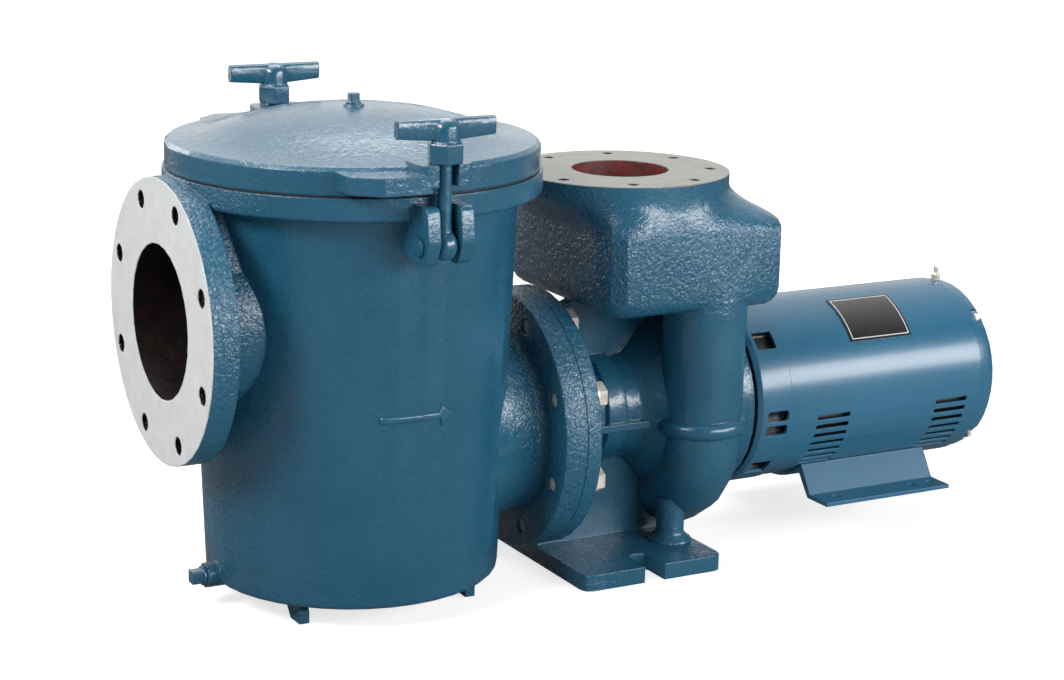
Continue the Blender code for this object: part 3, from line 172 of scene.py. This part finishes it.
def castEnamel(name, lumpiness=1.0, faceMask=None, faceGreys=None, boreMask=None, primers=None,
               holeShadeMask=None, coarseMask=None):
    # each mask is 1 on its own places: machined faces, primed bores, bolt holes, coarse castings; the bolt
    # holes, the pot's primer and the discharge face's grey are darkened as painted shade
    look = castLook
    material, tree, shader = newMaterial(name)
    mottle = noise(tree, look["mottle"], 4.0, 0.6)
    enamel = blendColour(tree, spread(tree, mottle, 0.35, 0.65), look["blue"], look["paleBlue"])
    specks = spread(tree, noise(tree, look["grain"] * 2.5, 2.0), 0.62, 0.75)
    colour = blendColour(tree, maths(tree, "MULTIPLY", specks, look["speckle"]), enamel, look["blue"])
    grain = noise(tree, look["grain"], distortion=look["grainTwist"])
    lumps = noise(tree, look["lumps"])
    rough = spread(tree, grain, 0.3, 0.7, look["roughness"] - 0.06, look["roughness"] + 0.10)
    deep = spread(tree, noise(tree, look["patches"], 2.0), 0.42, 0.62, *look["patchDepths"])
    if coarseMask is not None:
        deep = maths(tree, "ADD", deep, maths(tree, "MULTIPLY", coarseMask(tree), look["coarseHeight"]))
    if boreMask is not None:
        inside = boreMask(tree)
        deep = maths(tree, "MULTIPLY", deep, opposite(tree, inside))
        # on the pot the primer colours are near black, painted shade
        primer = blendColour(tree, spread(tree, lumps, 0.35, 0.65), *primers)
        colour = blendColour(tree, inside, colour, primer)
        rough = maths(tree, "ADD", rough, maths(tree, "MULTIPLY", inside, look["primerRoughness"]))
    if holeShadeMask is not None:
        # bolt holes painted near black as shade
        colour = blendColour(tree, holeShadeMask(tree), colour, look["hole"])
    grainRelief = maths(tree, "MULTIPLY", maths(tree, "MULTIPLY", grain, deep), look["grainShare"])
    relief = maths(tree, "ADD", grainRelief, maths(tree, "MULTIPLY", lumps, look["lumpShare"]))
    coat = look["coat"]
    if faceMask is not None:
        bare = faceMask(tree)
        relief = maths(tree, "MULTIPLY", relief, opposite(tree, bare))
        marks = spread(tree, noise(tree, look["toolMarks"], 5.0, 0.7), 0.35, 0.7)
        colour = blendColour(tree, bare, colour, blendColour(tree, marks, *faceGreys))
        rough = maths(tree, "ADD", rough, maths(tree, "MULTIPLY", bare, look["faceRoughness"]))
        coat *= look["bareCoat"]
    bumped(tree, shader, relief, look["lumpHeight"] * lumpiness, look["reliefStrength"],
           softEdges(tree, look["edge"]))
    tree.links.new(colour, shader.inputs["Base Color"])
    tree.links.new(rough, shader.inputs["Roughness"])
    shader.inputs["Coat Weight"].default_value = coat
    shader.inputs["Coat Roughness"].default_value = look["coatRoughness"]
    return material


ports = {
    "suctionFaceX": -0.4872,
    "suctionBackX": -0.4620,
    "suctionZ": 0.2947,
    "suctionBore": 0.0775,
    "suctionBoreEndX": -0.40,
    "suctionHoles": (0.1, 0.1345),      # nearest and farthest reach from the bore's axis
    "suctionNeckX": (-0.41, -0.45),     # where the coarse casting fades in
    "outletNeckX": (-0.17, -0.13),
    "potX": -0.285,
    "potSkin": 0.1440,                  # radius inside the wall at the floor
    "potTaper": 0.0386,
    "potFloor": 0.0340,
    "potTop": 0.4335,
    "dischargeFaceZ": 0.4104,
    "dischargeX": 0.0205,
    "dischargeBore": 0.0525,
    "dischargeBoreEndZ": 0.28,
    "dischargeHoleEndZ": 0.390,
    "dischargeHoles": (0.08, 0.105),
    "boxFootZ": (0.262, 0.285),
    "boxTopZ": (0.385, 0.350),
    "inletX": (-0.03, -0.07),
    "suctionGreys": ((0.57, 0.58, 0.58), (0.66, 0.67, 0.67)),
    # the same light grey paint as the suction face, darkened as painted shade
    "dischargeGreysInShade": ((0.155, 0.16, 0.143), (0.21, 0.215, 0.193)),
    "potPrimersInShade": ((0.002, 0.001, 0.001), (0.012, 0.003, 0.002)),       # primer darkened to near black, painted shade of the bore and the pot's inside
    "casingPrimers": ((0.060, 0.010, 0.007), (0.140, 0.022, 0.016)),
}


def between(tree, value, low, high):
    return maths(tree, "MULTIPLY", maths(tree, "GREATER_THAN", value, low),
                 maths(tree, "LESS_THAN", value, high))


def suctionFaceMask(tree):
    return maths(tree, "LESS_THAN", axes(tree)[0], ports["suctionFaceX"])


def suctionHoleShadeMask(tree):
    # the only surfaces between the flange's two faces, inside its rim, are the holes' walls, painted dark as
    # shade
    x, y, z = axes(tree)
    reach = distanceFrom(tree, y, z, 0.0, ports["suctionZ"])
    return maths(tree, "MULTIPLY", between(tree, x, ports["suctionFaceX"], ports["suctionBackX"]),
                 between(tree, reach, *ports["suctionHoles"]))


def potInsideMask(tree):
    x, y, z = axes(tree)
    reach = distanceFrom(tree, y, z, 0.0, ports["suctionZ"])
    bore = maths(tree, "MULTIPLY", maths(tree, "LESS_THAN", reach, ports["suctionBore"]),
                 maths(tree, "LESS_THAN", x, ports["suctionBoreEndX"]))
    skin = maths(tree, "MULTIPLY_ADD", z, ports["potTaper"], ports["potSkin"])
    pot = maths(tree, "LESS_THAN", distanceFrom(tree, x, y, ports["potX"], 0.0), skin)
    pot = maths(tree, "MULTIPLY", pot, between(tree, z, ports["potFloor"], ports["potTop"]))
    return maths(tree, "MAXIMUM", bore, pot)


def potCoarseMask(tree):
    # the suction neck and the outlet neck, where the core's sand shows
    x = axes(tree)[0]
    return maths(tree, "MAXIMUM", spread(tree, x, *ports["suctionNeckX"]),
                 spread(tree, x, *ports["outletNeckX"]))


def dischargeFaceMask(tree):
    return maths(tree, "GREATER_THAN", axes(tree)[2], ports["dischargeFaceZ"])


def dischargeHoleShadeMask(tree):
    # the blind holes' walls, painted dark as shade
    x, y, z = axes(tree)
    reach = distanceFrom(tree, x, y, ports["dischargeX"], 0.0)
    return maths(tree, "MULTIPLY", between(tree, z, ports["dischargeHoleEndZ"], ports["dischargeFaceZ"]),
                 between(tree, reach, *ports["dischargeHoles"]))


def dischargeBoreMask(tree):
    x, y, z = axes(tree)
    reach = distanceFrom(tree, x, y, ports["dischargeX"], 0.0)
    return maths(tree, "MULTIPLY", maths(tree, "LESS_THAN", reach, ports["dischargeBore"]),
                 maths(tree, "GREATER_THAN", z, ports["dischargeBoreEndZ"]))


def casingCoarseMask(tree):
    # the discharge box and the inlet flange
    x, _, z = axes(tree)
    box = maths(tree, "MULTIPLY", spread(tree, z, *ports["boxFootZ"]), spread(tree, z, *ports["boxTopZ"]))
    return maths(tree, "MAXIMUM", box, spread(tree, x, *ports["inletX"]))


# smooth motor enamel
motorLook = {
    "blue": (0.016, 0.104, 0.184),
    "paleBlue": (0.024, 0.120, 0.208),
    "edge": 0.0012,
    "roughness": 0.30,
    "coat": 0.35,
    "coatRoughness": 0.16,
    "mottle": 6.0,
    "peel": 420.0,                      # the paint's fine ripple, per metre
    "peelHeight": 0.00012,
    "shaftZ": 0.157,
    "skinRadius": 0.0968,               # deeper than this, inside a louvre, the enamel is painted near black as shade
    # painted shade inside the louvres
    "inside": (0.004, 0.006, 0.008),
}


def motorEnamel(name, louvreShade=False):
    look = motorLook
    material, tree, shader = newMaterial(name)
    mottle = noise(tree, look["mottle"])
    colour = blendColour(tree, spread(tree, mottle, 0.35, 0.65), look["blue"], look["paleBlue"])
    if louvreShade:
        # louvre insides painted near black as shade
        _, y, z = axes(tree)
        deep = maths(tree, "LESS_THAN", distanceFrom(tree, y, z, 0.0, look["shaftZ"]), look["skinRadius"])
        colour = blendColour(tree, deep, colour, look["inside"])
    tree.links.new(colour, shader.inputs["Base Color"])
    peel = noise(tree, look["peel"], 2.0)
    bumped(tree, shader, peel, look["peelHeight"], 0.5, softEdges(tree, look["edge"]))
    tree.links.new(spread(tree, peel, 0.3, 0.7, look["roughness"] - 0.03, look["roughness"] + 0.05),
                   shader.inputs["Roughness"])
    shader.inputs["Coat Weight"].default_value = look["coat"]
    shader.inputs["Coat Roughness"].default_value = look["coatRoughness"]
    return material


# metals, rubber, label
metalLook = {
    "zinc": (0.80, 0.77, 0.68),
    "zincShade": (0.62, 0.59, 0.50),
    "zincMetallic": 0.45,
    "steel": (0.56, 0.56, 0.56),
    "steelShade": (0.36, 0.36, 0.37),
    "rubber": (0.012, 0.012, 0.013),
    "rubberPale": (0.030, 0.030, 0.031),
    "labelBlack": (0.008, 0.008, 0.009),
    "labelGrey": (0.020, 0.020, 0.022),
}


def zincPlate(name):
    material, tree, shader = newMaterial(name)
    cloud = noise(tree, 180.0, 4.0, 0.6)
    tree.links.new(blendColour(tree, spread(tree, cloud, 0.35, 0.65), metalLook["zincShade"],
                               metalLook["zinc"]), shader.inputs["Base Color"])
    shader.inputs["Metallic"].default_value = metalLook["zincMetallic"]
    tree.links.new(spread(tree, cloud, 0.3, 0.7, 0.26, 0.42), shader.inputs["Roughness"])
    bumped(tree, shader, noise(tree, 900.0, 2.0), 0.00008, 0.4)
    return material


def basketSteel(name):
    material, tree, shader = newMaterial(name)
    cloud = noise(tree, 30.0, 4.0, 0.6)
    tree.links.new(blendColour(tree, cloud, metalLook["steelShade"], metalLook["steel"]),
                   shader.inputs["Base Color"])
    shader.inputs["Metallic"].default_value = 1.0
    tree.links.new(spread(tree, cloud, 0.3, 0.7, 0.34, 0.50), shader.inputs["Roughness"])
    return material


def blackRubber(name):
    material, tree, shader = newMaterial(name)
    dust = noise(tree, 60.0, 4.0, 0.6)
    tree.links.new(blendColour(tree, dust, metalLook["rubber"], metalLook["rubberPale"]),
                   shader.inputs["Base Color"])
    tree.links.new(spread(tree, dust, 0.3, 0.7, 0.55, 0.72), shader.inputs["Roughness"])
    bumped(tree, shader, noise(tree, 700.0, 2.0), 0.0001, 0.5)
    return material


labelLook = {
    "middle": (0.3125, math.radians(35)),    # along the motor, and round it from the top
    "half": (0.0405, 0.0314),
    "bend": 0.1,                             # radius that the plate is bent to
    "border": 0.0030,                        # from the edge to the silver line
    "line": 0.0006,
    "silver": (0.55, 0.55, 0.56),
    "coat": 0.6,
    "coatRoughness": 0.06,
}


def labelBlack(name):
    look = labelLook
    material, tree, shader = newMaterial(name)
    haze = noise(tree, 25.0)
    black = blendColour(tree, haze, metalLook["labelBlack"], metalLook["labelGrey"])
    x, y, z = axes(tree)
    up = maths(tree, "SUBTRACT", z, motorLook["shaftZ"])
    sweep = maths(tree, "ARCTAN2", maths(tree, "MULTIPLY", y, -1.0), up)
    sweep = maths(tree, "SUBTRACT", sweep, look["middle"][1])
    along = maths(tree, "ABSOLUTE", maths(tree, "SUBTRACT", x, look["middle"][0]))
    across = maths(tree, "ABSOLUTE", maths(tree, "MULTIPLY", sweep, look["bend"]))
    edge = maths(tree, "MAXIMUM", maths(tree, "SUBTRACT", along, look["half"][0] - look["border"]),
                 maths(tree, "SUBTRACT", across, look["half"][1] - look["border"]))
    line = maths(tree, "LESS_THAN", maths(tree, "ABSOLUTE", edge), look["line"])
    tree.links.new(blendColour(tree, line, black, look["silver"]), shader.inputs["Base Color"])
    tree.links.new(spread(tree, haze, 0.3, 0.7, 0.18, 0.28), shader.inputs["Roughness"])
    shader.inputs["Coat Weight"].default_value = look["coat"]
    shader.inputs["Coat Roughness"].default_value = look["coatRoughness"]
    return material


def paint(node, material):
    mesh = nodes[node].data
    mesh.materials.clear()
    mesh.materials.append(material)


weldGap = 0.000002                      # points nearer than this are one point


def smoothGroup(angle):
    group = bpy.data.node_groups.new("smoothByAngle", "GeometryNodeTree")
    group.interface.new_socket("Geometry", in_out="INPUT", socket_type="NodeSocketGeometry")
    group.interface.new_socket("Geometry", in_out="OUTPUT", socket_type="NodeSocketGeometry")
    source = group.nodes.new("NodeGroupInput")
    result = group.nodes.new("NodeGroupOutput")
    weld = group.nodes.new("GeometryNodeMergeByDistance")
    weld.inputs["Distance"].default_value = weldGap
    whole = group.nodes.new("GeometryNodeSetShadeSmooth")
    sharp = group.nodes.new("GeometryNodeSetShadeSmooth")
    sharp.domain = "EDGE"
    sharp.inputs["Shade Smooth"].default_value = False
    turn = group.nodes.new("GeometryNodeInputMeshEdgeAngle")
    steep = group.nodes.new("FunctionNodeCompare")
    steep.operation = "GREATER_THAN"
    steep.inputs[1].default_value = math.radians(angle)
    group.links.new(source.outputs[0], weld.inputs["Geometry"])
    group.links.new(weld.outputs["Geometry"], whole.inputs["Geometry"])
    group.links.new(whole.outputs["Geometry"], sharp.inputs["Geometry"])
    group.links.new(turn.outputs["Unsigned Angle"], steep.inputs[0])
    group.links.new(steep.outputs["Result"], sharp.inputs["Selection"])
    group.links.new(sharp.outputs["Geometry"], result.inputs[0])
    return group


slots = {entry["node"]: entry["material_slot"] for entry in frame["record"]["subparts"]}
plainCast = castEnamel("castingEnamel")
smoothCast = castEnamel("smallCastEnamel", lumpiness=0.5)
finishes = {
    "casting_enamel": smoothCast,
    "motor_enamel": motorEnamel("motorEnamel"),
    "zinc_plate": zincPlate("zincPlate"),
    "basket_steel": basketSteel("basketSteel"),
    "gasket_rubber": blackRubber("gasketRubber"),
    "label_black": labelBlack("labelBlack"),
}
for node, slotName in slots.items():
    paint(node, finishes[slotName])
paint("strainer_lid", plainCast)
louvred = motorEnamel("louvreShadeEnamel", True)
paint("motor_shell", louvred)
paint("motor_front_bell", louvred)
paint("strainer_pot", castEnamel("potEnamel", faceMask=suctionFaceMask, faceGreys=ports["suctionGreys"],
                                 boreMask=potInsideMask, primers=ports["potPrimersInShade"],
                                 holeShadeMask=suctionHoleShadeMask, coarseMask=potCoarseMask))
paint("pump_casing", castEnamel("casingEnamel", faceMask=dischargeFaceMask, faceGreys=ports["dischargeGreysInShade"],
                                boreMask=dischargeBoreMask, primers=ports["casingPrimers"],
                                holeShadeMask=dischargeHoleShadeMask, coarseMask=casingCoarseMask))
smoothing = smoothGroup(32.0)
for node in nodes.values():
    node.modifiers.new("smooth", "NODES").node_group = smoothing
print("finishes set on", len(slots), "nodes")


# pieces that the frame leaves plain
def newPiece(name, bm, material, body="pump"):
    mesh = bpy.data.meshes.new(name)
    bmesh.ops.remove_doubles(bm, verts=bm.verts, dist=weldGap)
    bmesh.ops.recalc_face_normals(bm, faces=bm.faces)
    bm.to_mesh(mesh)
    bm.free()
    mesh.materials.append(material)
    piece = bpy.data.objects.new(name, mesh)
    bpy.context.scene.collection.objects.link(piece)
    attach(piece, body)
    return piece


basket = {
    "centre": (-0.285, 0.0),
    "bottom": 0.0365,
    "top": 0.4130,
    "lowRadius": 0.1205,
    "highRadius": 0.1285,
    "around": 72,
    "rows": 34,
    "hole": 0.31,                       # hole radius as a share of a cell
    "sheet": 0.0012,
    "windowRadius": 0.086,
    "windowZ": 0.2947,
    "windowStrip": 0.014,               # width of the binding strip
    "floorCell": 0.011,
    "proud": 0.0008,                    # how far the strip and the foot band stand off the sheet
    "sides": 96,
}


def holedCell(bm, onSheet, u, v, du, dv, share):
    # a square cell with an eight-sided hole, in the sheet's own two directions
    outer = [(-0.5, -0.5), (0, -0.5), (0.5, -0.5), (0.5, 0), (0.5, 0.5), (0, 0.5), (-0.5, 0.5), (-0.5, 0)]
    ring = [bm.verts.new(onSheet(u + a * du, v + b * dv)) for a, b in outer]
    small = min(du, dv) * share
    hole = []
    for a, b in outer:
        length = math.hypot(a, b)
        hole.append(bm.verts.new(onSheet(u + a / length * small, v + b / length * small)))
    for i in range(8):
        j = (i + 1) % 8
        bm.faces.new((ring[i], ring[j], hole[j], hole[i]))


def makeBasket(values, material):
    bm = bmesh.new()
    cx, cy = values["centre"]
    low, high = values["bottom"], values["top"]
    lowRadius, highRadius = values["lowRadius"], values["highRadius"]
    mid = (lowRadius + highRadius) / 2

    def wallRadius(z, out=0.0):
        return lowRadius + (highRadius - lowRadius) * ((z - low) / (high - low)) + out

    def onWall(u, v):
        radius = wallRadius(v)
        return (cx + radius * math.cos(u / mid), cy + radius * math.sin(u / mid), v)

    def onFloor(u, v):
        return (cx + u, cy + v, low)

    def inWindow(point):
        reach = math.hypot(point[1], point[2] - values["windowZ"])
        return point[0] < cx and reach < values["windowRadius"]

    # perforated wall, left open at the window
    du = 2 * math.pi * mid / values["around"]
    dv = (high - low) / values["rows"]
    for i in range(values["around"]):
        for j in range(values["rows"]):
            u, v = i * du, low + (j + 0.5) * dv
            corners = [onWall(u + a * du / 2, v + b * dv / 2) for a in (-1, 1) for b in (-1, 1)]
            if not any(inWindow(corner) for corner in corners):
                holedCell(bm, onWall, u, v, du, dv, values["hole"])
    # binding strip round the window
    inner, outer = [], []
    steps = 60
    for k in range(steps):
        angle = 2 * math.pi * k / steps
        for reach, row in ((values["windowRadius"], inner),
                           (values["windowRadius"] + values["windowStrip"], outer)):
            y, z = reach * math.cos(angle), values["windowZ"] + reach * math.sin(angle)
            radius = wallRadius(z, values["proud"])
            row.append(bm.verts.new((cx - math.sqrt(max(radius ** 2 - y ** 2, 0.0)), cy + y, z)))
    for k in range(steps):
        j = (k + 1) % steps
        bm.faces.new((inner[k], inner[j], outer[j], outer[k]))
    # perforated floor
    cell = values["floorCell"]
    count = int(lowRadius / cell) + 1
    for i in range(-count, count + 1):
        for j in range(-count, count + 1):
            u, v = i * cell, j * cell
            if math.hypot(abs(u) + cell / 2, abs(v) + cell / 2) < lowRadius - 0.001:
                holedCell(bm, onFloor, u, v, cell, cell, values["hole"])
    # plain bands at the foot and the rim, as radius and height
    footBand = [(lowRadius - 0.016, low + 0.0006), (lowRadius, low + 0.0006),
                (lowRadius + values["proud"], low + 0.010)]
    rimBand = [(highRadius + 0.0006, high - 0.014), (highRadius + 0.0006, high),
               (highRadius + 0.010, high + 0.0010), (highRadius + 0.010, high - 0.0014)]
    sides = values["sides"]
    turns = [2 * math.pi * k / sides for k in range(sides)]
    for profile in (footBand, rimBand):
        rows = [[bm.verts.new((cx + r * math.cos(turn), cy + r * math.sin(turn), h)) for turn in turns]
                for r, h in profile]
        for first, second in zip(rows, rows[1:]):
            for k in range(sides):
                j = (k + 1) % sides
                bm.faces.new((first[k], first[j], second[j], second[k]))
    piece = newPiece("basketSheet", bm, material, "pump")
    thick = piece.modifiers.new("sheet", "SOLIDIFY")
    thick.thickness = values["sheet"]
    thick.offset = 0.0
    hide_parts("strainer_basket")


makeBasket(basket, finishes["basket_steel"])
print("basket made")

arrow = {
    "potX": -0.285,
    "radius": 0.1471,                   # pot's outside at the floor, less the taper
    "taper": 0.0386,
    "middleZ": 0.2155,
    "start": math.radians(-15),
    "neck": math.radians(8.2),
    "tip": math.radians(14.1),
    "shaft": 0.0032,                    # half heights
    "head": 0.0100,
    "relief": 0.0014,
    "sunk": 0.0012,
}


def makeArrow(values, material):
    # a plain raised arrow, bent to the pot
    bm = bmesh.new()
    start, neck, tip = values["start"], values["neck"], values["tip"]
    shaftSteps, headSteps = 14, 6
    stations = []
    for i in range(shaftSteps + 1):
        stations.append((start + (neck - start) * i / shaftSteps, values["shaft"]))
    for i in range(headSteps + 1):
        share = i / headSteps
        stations.append((neck + (tip - neck) * share, values["head"] * (1 - share) + 0.0004))

    def onPot(angle, z, out):
        radius = values["radius"] + values["taper"] * z + out
        return (values["potX"] + radius * math.sin(angle), -radius * math.cos(angle), z)

    # across the arrow: how far to the side, and how far out of the pot
    sunk, relief = -values["sunk"], values["relief"]
    section = ((-1.12, sunk), (-1.0, relief * 0.7), (-0.6, relief), (0.0, relief), (0.6, relief),
               (1.0, relief * 0.7), (1.12, sunk))
    rows = [[bm.verts.new(onPot(angle, values["middleZ"] + side * half, out)) for side, out in section]
            for angle, half in stations]
    for first, second in zip(rows, rows[1:]):
        for k in range(len(section) - 1):
            bm.faces.new((first[k], second[k], second[k + 1], first[k + 1]))
    bm.faces.new(rows[0])
    bm.faces.new(list(reversed(rows[-1])))
    piece = newPiece("flowArrow", bm, material)
    for face in piece.data.polygons:
        face.use_smooth = True


makeArrow(arrow, smoothCast)

coverScrews = {
    "middle": (0.309, 0.157),
    "offsets": ((-0.044, -0.037), (0.044, -0.037), (-0.044, 0.037), (0.044, 0.037)),
    "faceY": 0.1440,
    "radius": 0.0045,
    "height": 0.0022,
    "dish": 0.62,                       # height of the hollow middle, as a share of the head's
    "profile": ((0.45, 0.98), (0.75, 0.86), (0.94, 0.6), (1.0, 0.25), (1.0, 0.0)),
    "sides": 20,
}


def makeCoverScrews(values, material):
    # pan heads with a hollow middle, on the wiring box's cover
    bm = bmesh.new()
    sides = values["sides"]
    turns = [2 * math.pi * k / sides for k in range(sides)]
    for dx, dz in values["offsets"]:
        x, z = values["middle"][0] + dx, values["middle"][1] + dz
        rows = []
        for share, tall in values["profile"]:
            radius, y = values["radius"] * share, values["faceY"] + values["height"] * tall
            rows.append([bm.verts.new((x + radius * math.cos(turn), y, z + radius * math.sin(turn)))
                         for turn in turns])
        top = bm.verts.new((x, values["faceY"] + values["height"] * values["dish"], z))
        for k in range(sides):
            j = (k + 1) % sides
            bm.faces.new((top, rows[0][k], rows[0][j]))
            for first, second in zip(rows, rows[1:]):
                bm.faces.new((first[k], second[k], second[j], first[j]))
        bm.faces.new(rows[-1])
    piece = newPiece("coverScrews", bm, material, "pump")
    for face in piece.data.polygons:
        face.use_smooth = True


makeCoverScrews(coverScrews, finishes["zinc_plate"])
print("arrow and screws made")


# camera, light and floor
cameraValues = {
    "place": (-1.2598, -2.1305, 0.8377),
    "bearing": 0.506,
    "down": 0.243,
    "roll": 0.022,
    "lens": 81.42,
    "sensor": 36.0,
    "shift": (-0.00063, 0.00195),
}


def makeCamera(values):
    bearing, down, roll = values["bearing"], values["down"], values["roll"]
    ahead = Vector((math.sin(bearing) * math.cos(down), math.cos(bearing) * math.cos(down),
                    -math.sin(down)))
    level = ahead.cross(Vector((0, 0, 1))).normalized()
    above = level.cross(ahead)
    right = math.cos(roll) * level + math.sin(roll) * above
    up = -math.sin(roll) * level + math.cos(roll) * above
    turn = Matrix((right, up, -ahead)).transposed().to_4x4()
    data = bpy.data.cameras.new("camera")
    data.lens = values["lens"]
    data.sensor_width = values["sensor"]
    data.shift_x, data.shift_y = values["shift"]
    camera = bpy.data.objects.new("camera", data)
    camera.matrix_world = Matrix.Translation(values["place"]) @ turn
    bpy.context.scene.collection.objects.link(camera)
    bpy.context.scene.camera = camera


lightValues = [
    # name, place, aimed at, size, watts
    ("topPanel", (-0.1, 0.7, 2.2), (-0.1, 0.0, 0.25), (2.2, 1.2), 40.0),
    ("keyPanel", (-2.2, -0.6, 1.7), (-0.2, 0.0, 0.25), (0.8, 0.8), 46.0),
    ("sidePanel", (1.4, -2.6, 1.15), (0.0, 0.0, 0.2), (3.2, 0.9), 104.0),
    ("leftStrip", (-0.9, 2.2, 0.9), (-0.3, 0.0, 0.25), (0.5, 1.5), 8.0),
]


def makeLights(panels):
    for name, spot, target, size, watts in panels:
        data = bpy.data.lights.new(name, "AREA")
        data.shape = "RECTANGLE"
        data.size, data.size_y = size
        data.energy = watts
        lamp = bpy.data.objects.new(name, data)
        lamp.location = spot
        lamp.rotation_euler = (Vector(target) - Vector(spot)).to_track_quat("-Z", "Y").to_euler()
        bpy.context.scene.collection.objects.link(lamp)


worldLook = {
    "lit": 0.12,                        # soft light from all round
    "bright": (-0.25, 0.80, 0.55),      # direction of the white walls that the paint reflects
    "fade": (-0.15, 0.55),              # from the dark side to the bright one
    "dark": 0.05,                       # reflected strength away from them
}


def makeWorld(values):
    world = bpy.data.worlds.new("studio")
    world.use_nodes = True
    tree = world.node_tree
    tree.nodes.clear()
    path = tree.nodes.new("ShaderNodeLightPath")
    coords = tree.nodes.new("ShaderNodeTexCoord").outputs["Generated"]
    dot = tree.nodes.new("ShaderNodeVectorMath")
    dot.operation = "DOT_PRODUCT"
    tree.links.new(coords, dot.inputs[0])
    dot.inputs[1].default_value = Vector(values["bright"]).normalized()
    walls = spread(tree, dot.outputs["Value"], *values["fade"], values["dark"], 1.0)
    mirrored = mirroredRays(tree, path)
    strength = maths(tree, "ADD", maths(tree, "MULTIPLY", mirrored, walls),
                     maths(tree, "MULTIPLY", opposite(tree, mirrored), values["lit"]))
    strength = maths(tree, "MAXIMUM", strength, path.outputs["Is Camera Ray"])
    shown = tree.nodes.new("ShaderNodeBackground")
    shown.inputs["Color"].default_value = (1, 1, 1, 1)
    tree.links.new(strength, shown.inputs["Strength"])
    out = tree.nodes.new("ShaderNodeOutputWorld")
    tree.links.new(shown.outputs[0], out.inputs["Surface"])
    bpy.context.scene.world = world


floorLook = {
    "size": 40.0,
    "height": -0.0005,
    "greys": ((0.54, 0.54, 0.54), (0.57, 0.57, 0.57)),
    "mirrored": (0.06, 0.06, 0.06),     # what the paint reflects of it
    "glow": 0.06,                       # its own light in reflections
    "fade": (0.7, 2.0),                 # from the shaded ground to the white beyond
    "near": 0.72,
}


def makeFloor(values):
    mesh = bpy.data.meshes.new("floor")
    half = values["size"] / 2
    corners = ((-half, -half), (half, -half), (half, half), (-half, half))
    mesh.from_pydata([(x, y, values["height"]) for x, y in corners], [], [(0, 1, 2, 3)])
    floor = bpy.data.objects.new("floor", mesh)
    bpy.context.scene.collection.objects.link(floor)
    material, tree, shader = newMaterial("paleFloor")
    pale = blendColour(tree, noise(tree, 3.0, 2.0), *values["greys"])
    shader.inputs["Roughness"].default_value = 0.8
    shader.inputs["Emission Color"].default_value = (1, 1, 1, 1)
    path = tree.nodes.new("ShaderNodeLightPath")
    mirrored = mirroredRays(tree, path)
    tree.links.new(blendColour(tree, mirrored, pale, values["mirrored"]), shader.inputs["Base Color"])
    shown = maths(tree, "MAXIMUM", path.outputs["Is Camera Ray"],
                  maths(tree, "MULTIPLY", mirrored, values["glow"]))
    x, y, _ = axes(tree)
    far = spread(tree, distanceFrom(tree, x, y, 0.0, 0.0), *values["fade"], values["near"], 1.0)
    tree.links.new(maths(tree, "MULTIPLY", shown, far), shader.inputs["Emission Strength"])
    mesh.materials.append(material)


makeCamera(cameraValues)
makeLights(lightValues)
makeWorld(worldLook)
makeFloor(floorLook)
bpy.context.scene.view_settings.view_transform = "Standard"
print("camera, lights and floor made")
